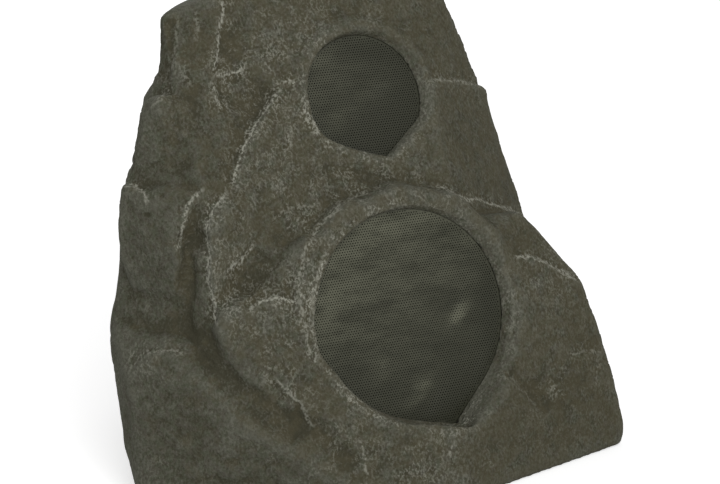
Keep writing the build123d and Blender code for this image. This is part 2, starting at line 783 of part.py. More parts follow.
with BuildPart() as crossover_capacitors:
    with BuildSketch(Plane.YZ.offset(capacitor_x)):
        with Locations(
            (board_at[1] - capacitor_radius - screw_gap, board_top + capacitor_radius),
            (board_at[1] + capacitor_radius + screw_gap, board_top + capacitor_radius),
        ):
            Circle(capacitor_radius)
    extrude(amount=capacitor_length)
crossover_capacitors.part.label = "crossover_capacitors"
export_step(crossover_capacitors.part, "parts/crossover_capacitors.step")

with BuildPart() as crossover_resistor:
    with BuildSketch(Plane.XY.offset(board_top)):
        with Locations((choke_at[0], board_at[1] - board_width / 2 + resistor_size)):
            Rectangle(resistor_length, resistor_size)
    extrude(amount=resistor_size)
crossover_resistor.part.label = "crossover_resistor"
export_step(crossover_resistor.part, "parts/crossover_resistor.step")

with BuildPart() as input_terminal:
    with BuildSketch(Plane.XY.offset(board_top)):
        with Locations((board_at[0] + board_length / 2 - terminal_width, board_at[1])):
            Rectangle(terminal_width, terminal_length)
    extrude(amount=terminal_height)
input_terminal.part.label = "input_terminal"
export_step(input_terminal.part, "parts/input_terminal.step")

# Leads from the crossover to the two speakers
tag_back = flange_level - flange_sheet - tag_depth
woofer_drop = (board_at[0] + part_row, board_at[1] - board_width / 2 + 2 * lead_radius, board_top)
tweeter_drop = (board_at[0] - lead_radius, board_at[1] + board_width / 2 - 3 * lead_radius, board_top)
tweeter_tag_radius = (tweeter_magnet_radius + faceplate_radius) / 2
lead_bend = 5 * lead_radius

with BuildPart() as woofer_lead:
    with BuildLine() as woofer_route:
        FilletPolyline(
            woofer_face.from_local_coords((0, -tag_radius, tag_back)),
            woofer_face.from_local_coords((0, -tag_radius, tag_back - 4 * lead_bend)),
            (woofer_drop[0], woofer_drop[1], board_top + 2 * lead_bend),
            woofer_drop,
            radius=lead_bend,
        )
    with BuildSketch(Plane(origin=woofer_route.line @ 0, z_dir=woofer_route.line % 0)):
        Circle(lead_radius)
    sweep()
woofer_lead.part.label = "woofer_lead"
export_step(woofer_lead.part, "parts/woofer_lead.step")

with BuildPart() as tweeter_lead:
    with BuildLine() as tweeter_route:
        FilletPolyline(
            tweeter_face.from_local_coords((0, -tweeter_tag_radius, plate_back)),
            tweeter_face.from_local_coords((0, -tweeter_tag_radius, plate_back - 3 * lead_bend)),
            corner(-33, 38, 52),
            corner(-30, 58, 20),
            (tweeter_drop[0], tweeter_drop[1], board_top + 3 * lead_bend),
            tweeter_drop,
            radius=lead_bend,
        )
    with BuildSketch(Plane(origin=tweeter_route.line @ 0, z_dir=tweeter_route.line % 0)):
        Circle(lead_radius)
    sweep()
tweeter_lead.part.label = "tweeter_lead"
export_step(tweeter_lead.part, "parts/tweeter_lead.step")

# Cable gland in its pocket at the back
collar_level = gland_seal_thickness
spigot_level = collar_level + gland_collar
spigot_end = spigot_level + gland_spigot_length

with BuildPart() as gland_seal:
    with BuildSketch(gland_face):
        Circle(gland_seal_radius)
        Circle(gland_thread_radius + screw_gap, mode=Mode.SUBTRACT)
    extrude(amount=gland_seal_thickness)
gland_seal.part.label = "gland_seal"
export_step(gland_seal.part, "parts/gland_seal.step")

with BuildPart() as gland_body:
    with BuildSketch(gland_face.offset(collar_level)):
        RegularPolygon(gland_hex_radius, 6)
    extrude(amount=gland_collar)
    with BuildSketch(gland_face.offset(collar_level)):
        Circle(gland_thread_radius)
    extrude(amount=-(collar_level + gland_wall + gland_tail))
    with BuildSketch(gland_face.offset(spigot_level)):
        Circle(gland_spigot_radius)
    extrude(amount=gland_spigot_length)
    with BuildSketch(gland_face.offset(spigot_end)):
        Circle(gland_bore_radius)
    extrude(amount=-(spigot_end + gland_wall + gland_tail), mode=Mode.SUBTRACT)
gland_body.part.label = "gland_body"
export_step(gland_body.part, "parts/gland_body.step")

with BuildPart() as gland_nut:
    with BuildSketch(gland_face.offset(spigot_level + head_gap)):
        RegularPolygon(gland_hex_radius, 6)
    extrude(amount=gland_nut_length)
    with BuildSketch(gland_face.offset(spigot_level + head_gap)):
        Circle(gland_spigot_radius + screw_gap)
    extrude(amount=gland_spigot_length, mode=Mode.SUBTRACT)
    with BuildSketch(gland_face.offset(spigot_level + head_gap)):
        Circle(gland_bore_radius)
    extrude(amount=gland_nut_length, mode=Mode.SUBTRACT)
    chamfer(gland_nut.faces().sort_by(Axis.Y)[-1].outer_wire().edges(), screw_gap * 10)
gland_nut.part.label = "gland_nut"
export_step(gland_nut.part, "parts/gland_nut.step")

with BuildPart() as gland_locknut:
    with BuildSketch(gland_face.offset(-gland_wall)):
        RegularPolygon(gland_hex_radius, 6)
        Circle(gland_thread_radius + screw_gap, mode=Mode.SUBTRACT)
    extrude(amount=-locknut_thickness)
gland_locknut.part.label = "gland_locknut"
export_step(gland_locknut.part, "parts/gland_locknut.step")
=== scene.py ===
import json
from contextlib import contextmanager
from math import cos, pi, radians, sin, sqrt

import bpy
import numpy as np
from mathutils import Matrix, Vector, noise

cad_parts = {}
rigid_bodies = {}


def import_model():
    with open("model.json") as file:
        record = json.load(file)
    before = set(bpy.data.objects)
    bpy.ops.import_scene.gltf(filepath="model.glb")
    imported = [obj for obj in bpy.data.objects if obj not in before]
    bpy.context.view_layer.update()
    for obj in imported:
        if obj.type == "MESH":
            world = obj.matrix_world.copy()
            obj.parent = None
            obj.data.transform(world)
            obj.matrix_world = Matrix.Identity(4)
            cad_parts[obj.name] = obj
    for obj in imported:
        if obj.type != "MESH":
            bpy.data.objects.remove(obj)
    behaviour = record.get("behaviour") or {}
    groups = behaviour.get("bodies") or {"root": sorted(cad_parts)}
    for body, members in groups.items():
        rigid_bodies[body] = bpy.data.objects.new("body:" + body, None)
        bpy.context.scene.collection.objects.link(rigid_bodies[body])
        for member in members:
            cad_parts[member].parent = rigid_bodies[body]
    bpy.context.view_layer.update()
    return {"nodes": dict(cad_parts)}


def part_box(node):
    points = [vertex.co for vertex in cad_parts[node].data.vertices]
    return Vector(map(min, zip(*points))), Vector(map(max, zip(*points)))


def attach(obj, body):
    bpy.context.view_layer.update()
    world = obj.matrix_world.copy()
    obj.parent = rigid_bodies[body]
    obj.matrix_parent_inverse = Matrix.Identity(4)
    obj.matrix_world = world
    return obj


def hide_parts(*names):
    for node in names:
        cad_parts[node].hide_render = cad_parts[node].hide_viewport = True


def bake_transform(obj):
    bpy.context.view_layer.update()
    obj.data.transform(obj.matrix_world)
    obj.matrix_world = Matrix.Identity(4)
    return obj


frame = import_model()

# The photograph's camera
# It stands to the left of the rock's front and a little above it. The lines that are carved
# into the stone are placed by the photograph's pixels, so its stand comes first.
photo_width = 720
photo_height = 484
photo_azimuth = radians(-29)
photo_elevation = radians(16)
photo_distance = 1.550
photo_pixels_per_metre = 1420
photo_target = np.array((0.0095, -0.014, 0.152))
to_camera = np.array(
    (
        sin(photo_azimuth) * cos(photo_elevation),
        -cos(photo_azimuth) * cos(photo_elevation),
        sin(photo_elevation),
    )
)
photo_right = np.array((cos(photo_azimuth), sin(photo_azimuth), 0.0))
photo_up = np.cross(to_camera, photo_right)
camera_place = photo_target + photo_distance * to_camera
focal_pixels = photo_pixels_per_metre * photo_distance


def photo_pixels(places):
    """Where places in the frame fall in the photograph, as columns of right and down."""
    rays = places - camera_place
    depth = -rays @ to_camera
    right = photo_width / 2 + focal_pixels * (rays @ photo_right) / depth
    down = photo_height / 2 - focal_pixels * (rays @ photo_up) / depth
    return np.stack((right, down), axis=1)


# The rock's casting
# One hollow casting of resin stone, about 7 mm thick and open below. Its recesses, its foot
# and its hollow are the CAD's own faces, and its skin is worn and carved over the CAD's lumps.
woofer_face = Vector((0.009025, -0.08319, 0.11616))
woofer_lean = radians(14)
woofer_recess = 0.075
woofer_opening = 0.070
woofer_corner = (radians(-71), radians(26))
tweeter_face = Vector((0.009025, -0.019035, 0.25696))
tweeter_lean = radians(22.5)
tweeter_recess = 0.045
tweeter_opening = 0.040
no_corner = (0.0, 0.0)
grille_depth = 0.006
gland_face = Vector((0.001805, 0.123, 0.036))
gland_axis = Vector((0, 1, 0))
gland_recess = 0.017
gland_bore = 0.0061
ledge_bottom = 0.008
foot_axis = Vector((0, 0, -1))
on_edge = 0.00006
same_place = 0.000002
upright_slope = 0.02


def outward(lean):
    """The way that a mouth leaning back by lean looks."""
    return Vector((0, -cos(lean), sin(lean)))


woofer_axis = outward(woofer_lean)
tweeter_axis = outward(tweeter_lean)


def only(piece):
    """Selects one object and makes it the active one."""
    bpy.ops.object.select_all(action="DESELECT")
    piece.select_set(True)
    bpy.context.view_layer.objects.active = piece


@contextmanager
def editing():
    """Edit mode on the active piece, and object mode again after it."""
    bpy.ops.object.mode_set(mode="EDIT")
    yield
    bpy.ops.object.mode_set(mode="OBJECT")


def cad_copy(node, name):
    """A new piece with a CAD node's mesh, its loose triangles joined."""
    mesh = frame["nodes"][node].data.copy()
    mesh.materials.clear()
    piece = bpy.data.objects.new(name, mesh)
    mesh.name = name
    bpy.context.scene.collection.objects.link(piece)
    only(piece)
    with editing():
        bpy.ops.mesh.select_all(action="SELECT")
        bpy.ops.mesh.remove_doubles(threshold=same_place)
    return piece


def values_of(items, field, width=1, kind=float):
    """One field of all of a mesh's points, edges, corners or faces."""
    values = np.empty(len(items) * width, dtype=kind)
    items.foreach_get(field, values)
    return values.reshape(-1, width) if width > 1 else values


def places_of(piece):
    """The places of a piece's points, one row each."""
    return values_of(piece.data.vertices, "co", 3)


def normals_of(piece):
    """The outward directions of a piece's points, one row each."""
    return values_of(piece.data.vertices, "normal", 3)


def put_places(piece, places):
    """Moves a piece's points to new places."""
    piece.data.vertices.foreach_set("co", places.ravel())
    piece.data.update()


def edge_ends(piece):
    """The two points of each edge."""
    return values_of(piece.data.edges, "vertices", 2, np.int64)


def about_axis(places, centre, axis):
    """Each place's distance from a line, and its height along that line."""
    offset = places - np.array(centre)
    height = offset @ np.array(axis)
    return np.linalg.norm(offset - np.outer(height, np.array(axis)), axis=1), height


def turns_about(places, centre, lean):
    """The angle of each place round a mouth that leans back, from the right hand upward."""
    offset = places - np.array(centre)
    return np.arctan2(offset @ np.array((0, sin(lean), cos(lean))), offset[:, 0])


def turned_from(turns, middle):
    """How far angles lie from one angle, either way round."""
    return np.abs((turns - middle + pi) % (2 * pi) - pi)


def corner_stretch(turns, corner):
    """How many times its round a mouth reaches at each angle, because of its corner."""
    turn, spread = corner
    return 1 / np.cos(np.maximum(spread - turned_from(turns, turn), 0))


def edges_between(piece, points):
    """The edges whose two ends are both among some points."""
    return points[edge_ends(piece)].all(axis=1)


def ring_points(places, centre, axis, radius, seat):
    """The points on an opening of that radius, at the height of its seat."""
    reach, height = about_axis(places, centre, axis)
    return (np.abs(reach - radius) < on_edge) & (np.abs(height - seat) < on_edge)


def foot_points(places):
    """The points on the lower edge of the pocket that the base plate fills."""
    low = np.abs(places[:, 2]) < on_edge
    at_ledge = np.abs(places[:, 2] - ledge_bottom) < on_edge
    gap = np.linalg.norm(places[:, None, :2] - places[None, at_ledge, :2], axis=2)
    return low & (gap.min(axis=1) < on_edge)


def wall_rim(piece, centre, axis, radius, lowest, stretch=1.0):
    """The edges above that height that only one face of a mouth's wall has."""
    mesh = piece.data
    reach, height = about_axis(places_of(piece), centre, axis)
    on_wall = np.abs(reach / stretch - radius) < on_edge
    upright = np.abs(values_of(mesh.polygons, "normal", 3) @ np.array(axis)) < upright_slope
    starts = values_of(mesh.polygons, "loop_start", kind=np.int64)
    sides = values_of(mesh.polygons, "loop_total", kind=np.int64)
    points = values_of(mesh.loops, "vertex_index", kind=np.int64)
    edges = values_of(mesh.loops, "edge_index", kind=np.int64)
    wall = np.logical_and.reduceat(on_wall[points], starts) & upright
    count = np.bincount(edges[np.repeat(wall, sides)], minlength=len(mesh.edges))
    return (count == 1) & (height > lowest)[edge_ends(piece)].all(axis=1)


def rim_edges(piece):
    """For each opening, its outer edges and the way out of it."""
    places = places_of(piece)
    above_seat = on_edge - grille_depth
    stretch = corner_stretch(turns_about(places, woofer_face, woofer_lean), woofer_corner)
    return (
        (wall_rim(piece, woofer_face, woofer_axis, woofer_recess, above_seat, stretch), woofer_axis),
        (wall_rim(piece, tweeter_face, tweeter_axis, tweeter_recess, above_seat), tweeter_axis),
        (wall_rim(piece, gland_face, gland_axis, gland_recess, on_edge), gland_axis),
        (edges_between(piece, foot_points(places)), foot_axis),
    )


def seat_edges(piece):
    """For each opening, the flat edges where it leaves its seat."""
    places = places_of(piece)
    return tuple(
        edges_between(piece, points)
        for points in (
            ring_points(places, woofer_face, woofer_axis, woofer_opening, -grille_depth),
            ring_points(places, tweeter_face, tweeter_axis, tweeter_opening, -grille_depth),
            ring_points(places, gland_face, gland_axis, gland_bore, 0),
            foot_points(places),
        )
    )


def pick(piece, edges=None, faces=None):
    """Selects edges or faces of a piece in object mode, and nothing else."""
    mesh = piece.data
    only(piece)
    for items in (mesh.vertices, mesh.edges, mesh.polygons):
        items.foreach_set("select", np.zeros(len(items), bool))
    if edges is not None:
        bpy.context.tool_settings.mesh_select_mode = (False, True, False)
        mesh.edges.foreach_set("select", edges)
    if faces is not None:
        bpy.context.tool_settings.mesh_select_mode = (False, False, True)
        mesh.polygons.foreach_set("select", faces)


def select_open_edges():
    """Selects the edges in edit mode that have one face only."""
    bpy.ops.mesh.select_mode(type="EDGE")
    bpy.ops.mesh.select_all(action="DESELECT")
    bpy.ops.mesh.select_non_manifold(extend=False, use_boundary=True, use_wire=False)


def turn_outward():
    """Turns all faces in edit mode to look out."""
    bpy.ops.mesh.select_all(action="SELECT")
    bpy.ops.mesh.normals_make_consistent(inside=False)


def keep_to_edges(piece, loops, outer):
    """Keeps the outer or the inner faces of the casting, up to some loops of edges."""
    pick(piece, edges=np.logical_or.reduce(loops))
    with editing():
        bpy.ops.mesh.mark_seam(clear=False)
    heights = np.array([face.center.z for face in piece.data.polygons])
    pick(piece, faces=np.arange(len(heights)) == heights.argmax())
    with editing():
        bpy.ops.mesh.select_linked(delimit={"SEAM"})
        if outer:
            bpy.ops.mesh.select_all(action="INVERT")
        bpy.ops.mesh.delete(type="FACE")


def apply_modifier(piece, kind, **settings):
    """Adds a modifier to a piece, sets it and applies it."""
    only(piece)
    bpy.ops.object.modifier_add(type=kind)
    modifier = piece.modifiers[-1]
    for name, value in settings.items():
        setattr(modifier, name, value)
    bpy.ops.object.modifier_apply(modifier=modifier.name)


# Round each grille the stone stands over the sheet's edge, most where the mould was less open.
# Each lip has the angle of its middle, its spread and its width.
lip_overlap = 0.0011
lip_clearance = 0.0005
lip_slack = 0.0005
woofer_lips = ((radians(-125), radians(45), 0.0065),)
tweeter_lips = ((radians(-52), radians(28), 0.0046), (radians(-114), radians(34), 0.0050))
mouths = (
    (woofer_face, woofer_lean, woofer_recess, woofer_corner, woofer_lips),
    (tweeter_face, tweeter_lean, tweeter_recess, no_corner, tweeter_lips),
)


def lip_reach(turns, recess, corner, lips):
    """How far from a mouth's middle the edge of its stone lip runs at each angle."""
    width = np.full(len(turns), lip_overlap)
    for middle, spread, widest in lips:
        share = (np.cos(turned_from(turns, middle)) - cos(spread)) / (1 - cos(spread))
        width += widest * np.clip(share, 0, 1)
    return recess * corner_stretch(turns, corner) - width


def past_lip(places, mouth):
    """How far places lie outside a mouth's lip, and their heights and angles about it."""
    centre, lean, recess, corner, lips = mouth
    turns = turns_about(places, centre, lean)
    reach, height = about_axis(places, centre, outward(lean))
    return reach - lip_reach(turns, recess, corner, lips), height, turns


def draw_in(piece, lowest, slack):
    """Draws the recesses' walls in to the lips' edge, from that height outward."""
    for centre, lean, recess, corner, lips in mouths:
        places = places_of(piece)
        axis = outward(lean)
        turns = turns_about(places, centre, lean)
        reach, height = about_axis(places, centre, axis)
        wall = np.abs(reach / corner_stretch(turns, corner) - recess) < on_edge
        wall &= height > lowest - on_edge
        middle = np.array(centre) + np.outer(height, np.array(axis))
        share = (lip_reach(turns, recess, corner, lips) - slack) / np.maximum(reach, recess / 2)
        places[wall] = (middle + (places - middle) * share[:, None])[wall]
        put_places(piece, places)


# The hollow, from the openings' edges inward, runs out past the skin so that it can be cut away
mouth_reach = 0.05
hollow = cad_copy("rock_shell", "rock_hollow")
keep_to_edges(hollow, [edges for edges, way_out in rim_edges(hollow)], outer=False)
for opening in range(len(rim_edges(hollow))):
    edges, way_out = rim_edges(hollow)[opening]
    pick(hollow, edges=edges)
    with editing():
        bpy.ops.mesh.extrude_edges_move(TRANSFORM_OT_translate={"value": way_out * mouth_reach})
only(hollow)
with editing():
    select_open_edges()
    bpy.ops.mesh.fill_holes(sides=0)
    for centre, lean, recess, corner, lips in mouths:
        for height in (lip_clearance / 2, lip_clearance):
            bpy.ops.mesh.select_all(action="SELECT")
            bpy.ops.mesh.bisect(plane_co=centre + outward(lean) * height, plane_no=outward(lean))
    turn_outward()
draw_in(hollow, lip_clearance, 0)

# The skin, closed across the flat seats, gets an even grain and its facets are worn round
skin_steps = 8
skin_fill = 0.66
skin_grain = 0.00215
skin_rounds = 16
skin_smoothing = 0.5
foot_height = 0.0006
foot_corner = (0.1733, -0.1072, 0.0)
foot_corner_wear = 0.014
rim_height = 0.014
rim_wear = 0.010
least_wear = 0.2
least_weight = 0.001
splay_sides = 180
splay_start = 0.0012
splay_height = 0.020
splay_width = 0.020
splay_turn = radians(15)
least_splay = 0.2
rock = cad_copy("rock_shell", "rock_skin")
keep_to_edges(rock, seat_edges(rock), outer=True)
draw_in(rock, -grille_depth, lip_slack)
only(rock)
with editing():
    select_open_edges()
    bpy.ops.mesh.fill_holes(sides=0)


def stand_up(piece, centre, lean):
    """Leans a piece that lies flat back into a mouth and puts its middle at the mouth's centre."""
    places = places_of(piece)
    across = np.array((1.0, 0.0, 0.0))
    upward = np.array((0.0, sin(lean), cos(lean)))
    placed = np.outer(places[:, 0], across) + np.outer(places[:, 1], upward)
    placed += np.outer(places[:, 2], np.array(outward(lean))) + np.array(centre)
    put_places(piece, placed)


def splay(centre, lean, recess, corner, lips):
    """A funnel that opens from above a grille's edge, to slope the right of its mouth's rim."""
    bpy.ops.object.select_all(action="DESELECT")
    bpy.ops.mesh.primitive_cylinder_add(vertices=splay_sides, radius=1, depth=1)
    funnel = bpy.context.active_object
    places = places_of(funnel)
    turns = np.arctan2(places[:, 1], places[:, 0])
    top = places[:, 2] > 0
    opening = splay_width * np.clip(np.cos(turns - splay_turn), least_splay, 1)
    reach = lip_reach(turns, recess, corner, lips) + np.where(top, opening, 0)
    height = np.where(top, splay_start + splay_height, splay_start)
    put_places(funnel, np.stack((reach * np.cos(turns), reach * np.sin(turns), height), axis=1))
    stand_up(funnel, centre, lean)
    return funnel


for mouth in mouths:
    funnel = splay(*mouth)
    apply_modifier(rock, "BOOLEAN", object=funnel, operation="DIFFERENCE", solver="MANIFOLD")
    bpy.data.objects.remove(funnel)


def weight_group(piece, name, weights):
    """A vertex group that holds a weight for each point."""
    group = piece.vertex_groups.new(name=name)
    for index, weight in enumerate(weights.tolist()):
        if weight > least_weight:
            group.add((index,), weight, "REPLACE")
    return group.name


apply_modifier(
    rock, "REMESH", mode="SMOOTH", octree_depth=skin_steps, scale=skin_fill, use_remove_disconnected=False
)
apply_modifier(rock, "REMESH", mode="VOXEL", voxel_size=skin_grain)
places = places_of(rock)
wear = (places[:, 2] > foot_height) * 1.0
wear[np.linalg.norm(places - np.array(foot_corner), axis=1) < foot_corner_wear] = 1
for mouth in mouths:
    beyond, height, turns = past_lip(places, mouth)
    at_rim = np.abs(height) < rim_height
    wear[at_rim] *= np.clip(np.abs(beyond[at_rim]) / rim_wear, least_wear, 1)
worn = weight_group(rock, "wear", wear)
apply_modifier(rock, "SMOOTH", factor=skin_smoothing, iterations=skin_rounds, vertex_group=worn)

# The rock's carving
# The mould was cut by hand, so ledges, scoops and grooves cross the skin. Each line runs as it
# does in the photograph, and a ledge falls away on its right hand, as seen there.
top_scoop_edge = ((211, 78), (215, 65), (221, 30), (225, 0), (226, -20))
pocket_top_edge = ((211, 81), (230, 74), (250, 69))
pocket_left_edge = ((219, 114), (218, 100), (212, 80))
pocket_right_edge = ((280, 86), (268, 103), (256, 120))
long_ridge_top = ((284, 84), (262, 115), (250, 135), (243, 145), (238, 165), (228, 190))
long_ridge_foot = ((228, 190), (213, 207), (208, 225), (208, 280), (215, 305), (216, 328))
left_ridge = ((203, 186), (190, 200), (184, 212), (181, 232), (174, 254))
arch_edge = ((176, 250), (183, 233), (195, 230), (209, 237))
long_groove = ((188, 262), (186, 325), (200, 355), (240, 400), (270, 420), (330, 445), (356, 470))
groove_crease = ((190, 250), (187, 290), (185, 325), (198, 352), (215, 374))
side_valley = ((112, 330), (140, 328), (186, 325))
groove_lip = ((222, 360), (240, 378), (270, 400), (330, 425), (364, 466))
foot_top_edge = ((190, 352), (165, 350), (145, 350), (128, 374))
scoop_ridge = ((224, 277), (240, 263), (256, 240))
block_edge = ((303, 302), (290, 300), (279, 297), (262, 299), (254, 304), (244, 313))
apron_edge = ((272, 376), (283, 388), (297, 402), (314, 430))
brow_right = ((526, 216), (505, 205), (470, 197), (432, 183))
brow_valley = ((358, 195), (335, 213), (315, 235), (298, 252), (284, 262))
right_ridge = ((580, 281), (545, 262), (530, 257), (512, 256))
upper_right_edge = ((490, 85), (460, 81), (426, 79))
lower_right_edge = ((606, 351), (585, 350), (562, 352))
right_crack = ((541, 420), (537, 406), (524, 391), (512, 377), (503, 367))
drain_ridge = ((455, 424), (447, 455), (440, 508))
apron_ridge = ((358, 436), (362, 455), (366, 480))
shoulder_edge = ((148, 208), (144, 191), (132, 183), (112, 186))
strip_edge = ((179, 12), (173, 60), (163, 84))
cheek_crease = ((156, 144), (172, 142), (190, 145))
crown_crack = ((366, 4), (368, 14), (367, 25))
shelf_crevice = ((318, 164), (340, 168), (356, 175), (372, 184))
knob_line = ((271, 230), (275, 219), (290, 208), (305, 207), (322, 211))
rim_left_top = ((345, 200), (320, 225), (303, 250), (299, 275))
rim_left_line = rim_left_top + ((300, 300), (304, 325), (308, 345), (320, 370))
rim_right_line = ((478, 222), (499, 248), (511, 288), (513, 330), (506, 362))

# Each ledge has its line, its drop in metres and the pixels over which the skin climbs back
ledges = (
    (top_scoop_edge, 0.0032, 26), (pocket_top_edge, 0.0032, 18), (pocket_left_edge, 0.0026, 22),
    (pocket_right_edge, 0.0026, 20), (long_ridge_top, 0.0042, 24), (long_ridge_foot, 0.0038, 16),
    (left_ridge, 0.0032, 20), (arch_edge, 0.0026, 14), (groove_lip, 0.0016, 14),
    (foot_top_edge, 0.0022, 14), (scoop_ridge, 0.0040, 22), (block_edge, 0.0034, 20),
    (apron_edge, 0.0032, 18), (brow_right, 0.0022, 18), (right_ridge, 0.0035, 26),
    (right_crack, 0.0045, 18), (upper_right_edge, 0.0028, 20), (lower_right_edge, 0.0010, 14),
    (shoulder_edge, 0.0025, 16), (strip_edge, 0.0036, 22),
)
# Each groove has its line, its depth in metres, less than 0 for a ridge, and its width in pixels
grooves = (
    (long_groove, 0.0024, 12), (groove_crease, 0.0022, 4), (side_valley, 0.0008, 7),
    (cheek_crease, 0.0018, 5), (crown_crack, 0.0008, 3), (shelf_crevice, 0.0016, 3.5),
    (knob_line, 0.0008, 2.5), (brow_valley, -0.0016, 8), (rim_left_line, -0.0008, 4),
    (rim_right_line, -0.0006, 4), (drain_ridge, -0.0012, 8), (apron_ridge, -0.0010, 5),
)
# Each scoop has its pixel, half its length and width, its turn in degrees and its depth
scoops = (
    (257, 283, 30, 13, -8, 0.0034), (248, 100, 22, 15, 0, 0.0028), (235, 42, 12, 26, 8, 0.0022),
    (183, 122, 26, 20, 0, 0.0018), (302, 426, 28, 13, 30, 0.0022), (512, 236, 14, 24, -20, 0.0018),
    (534, 390, 18, 12, 40, 0.0022), (348, 173, 34, 8, 5, 0.0014), (172, 181, 20, 9, 0, -0.0030),
    (193, 242, 10, 8, 0, 0.0026), (277, 252, 16, 10, -45, -0.0022), (155, 326, 26, 8, 0, -0.0014),
    (306, 236, 26, 15, -45, -0.0026),
)
# Each pit has its pixel, its radius and its depth
pits = (
    (162, 193, 2.4, 0.0024), (147, 215, 2.0, 0.0014), (511, 374, 2.4, 0.0022),
    (187, 252, 3.0, 0.0016),
)
# The outline is lifted out to the photograph's, by so many steps at each of some rows of pixels
left_edge = 230
left_edge_rows = (0, 20, 30, 44, 60, 80, 88, 98, 145, 165, 180, 200, 240, 262, 300, 320, 360, 400, 430, 484)
left_edge_lifts = (26, 12, -16, -42, -56, -58, -30, 0, -14, -18, 36, 24, 22, 4, -12, 0, 32, 14, 2, 18)
right_edge = 420
right_edge_rows = (0, 50, 80, 98, 140, 160, 190, 350, 370, 484)
right_edge_lifts = (20, 22, 36, 6, 3, 12, 26, 22, 32, 26)
edge_step = 0.0001
edge_fade = 30
ledge_softness = 1.6
steepest = 30
line_taper = 10
wander_size = 0.018
wander_pixels = 3.0
grazing = 0.03
grazing_fade = 0.15


def ramp(values, start, length):
    """0 up to the start, 1 from one length on, and an even rise between."""
    return np.clip((values - start) / length, 0, 1)


def facing_camera(normals):
    """1 where the skin looks toward the camera, and 0 where it looks past it or away."""
    return ramp(normals @ to_camera, grazing, grazing_fade)


def along_line(pixels, line):
    """How far pixels lie to the right hand of a line, and how far from its nearer end."""
    nearest = np.full(len(pixels), np.inf)
    side = np.zeros(len(pixels))
    travel = np.zeros(len(pixels))
    passed = 0.0
    for start, stop in zip(np.array(line[:-1], float), np.array(line[1:], float)):
        run = stop - start
        length = np.linalg.norm(run)
        offset = pixels - start
        along = np.clip(offset @ run / length, 0, length)
        gap = offset - np.outer(along, run / length)
        distance = np.linalg.norm(gap, axis=1)
        right_hand = (offset[:, 1] * run[0] - offset[:, 0] * run[1]) / length
        closer = distance < nearest
        nearest[closer] = distance[closer]
        side[closer] = np.copysign(distance, right_hand)[closer]
        travel[closer] = passed + along[closer]
        passed += length
    taper = ramp(np.minimum(travel, passed - travel), 0, line_taper)
    return side, taper * taper * (3 - 2 * taper)


def ledge(pixels, line, drop, fade):
    """A step that falls sharply on the line's right hand and climbs back over the fade."""
    side, taper = along_line(pixels, line)
    step = 1 / (1 + np.exp(np.clip(-side / ledge_softness, -steepest, steepest)))
    return -drop * taper * step * np.exp(-np.maximum(side, 0) / fade)


def groove(pixels, line, depth, width):
    """A round furrow along the line."""
    side, taper = along_line(pixels, line)
    return -depth * taper * np.exp(-((side / width) ** 2))


def oval(points, right, down, half_length, half_width, turn=0):
    """How near points of a picture lie to the middle of an oval turned by some degrees."""
    away = points - (right, down)
    along = away @ np.array((cos(radians(turn)), sin(radians(turn))))
    beside = away @ np.array((-sin(radians(turn)), cos(radians(turn))))
    return np.exp(-((along / half_length) ** 2) - (beside / half_width) ** 2)


def wander(places):
    """Smooth random steps in pixels, the same at each run, that lead lines off the straight."""
    steps = [noise.noise_vector(place)[:] for place in (places / wander_size).tolist()]
    return wander_pixels * np.array(steps)[:, :2]


def settled(values, ends, rounds):
    """Each point's values, averaged with its neighbours' round after round."""
    both = np.concatenate((ends[:, 0], ends[:, 1]))
    others = np.concatenate((ends[:, 1], ends[:, 0]))
    count = np.bincount(both, minlength=len(values)) + 1
    for _ in range(rounds):
        columns = [
            (np.bincount(both, weights=column[others], minlength=len(values)) + column) / count
            for column in values.T
        ]
        values = np.stack(columns, axis=1)
    return values


def carved(places, normals):
    """How far the carving lifts each point of the skin, in metres."""
    pixels = photo_pixels(places) + wander(places)
    lift = np.zeros(len(places))
    for line, drop, fade in ledges:
        lift += ledge(pixels, line, drop, fade)
    for line, depth, width in grooves:
        lift += groove(pixels, line, depth, width)
    for *place_and_size, depth in scoops:
        lift -= depth * oval(pixels, *place_and_size)
    for right, down, radius, depth in pits:
        lift -= depth * oval(pixels, right, down, radius, radius)
    lift *= facing_camera(normals)
    across, down = pixels.T
    sideways = normals @ photo_right
    leftward = np.clip(-sideways, 0, 1) ** 2 * ramp(-across, -left_edge, edge_fade)
    rightward = np.clip(sideways, 0, 1) ** 2 * ramp(across, right_edge, edge_fade)
    lift += edge_step * leftward * np.interp(down, left_edge_rows, left_edge_lifts)
    lift += edge_step * rightward * np.interp(down, right_edge_rows, right_edge_lifts)
    return lift


deepest_cut = 0.0058
normal_rounds = 4
places = places_of(rock)
normals = normals_of(rock)
even_normals = settled(normals, edge_ends(rock), normal_rounds)
lift = np.maximum(carved(places, even_normals), -deepest_cut)
lift[places[:, 2] < foot_height] = 0
put_places(rock, places + normals * lift[:, None])

# The broken relief of lumps is on the sides that the photograph hides, and chips are all over
lump_size = 0.055
lump_height = 0.010
chip_size = 0.016
chip_height = 0.0046
hidden_start = -0.25
hidden_fade = 0.4
foot_clear = 0.004
foot_fade = 0.02
gland_clear = 0.022
gland_fade = 0.015
outline_fade = 0.45
rim_fade = 0.008
chips_seen = 0.55
chips_hidden = 0.45
chips_spared = 0.3


def relief(name, size, height, creased, weights):
    """Lifts the skin by a solid noise, by the weight of each point."""
    texture = bpy.data.textures.new(name, "CLOUDS")
    texture.noise_scale = size
    texture.noise_type = "HARD_NOISE" if creased else "SOFT_NOISE"
    apply_modifier(
        rock,
        "DISPLACE",
        texture=texture,
        texture_coords="LOCAL",
        strength=height,
        mid_level=0.5,
        vertex_group=weight_group(rock, name, weights),
    )
    bpy.data.textures.remove(texture)


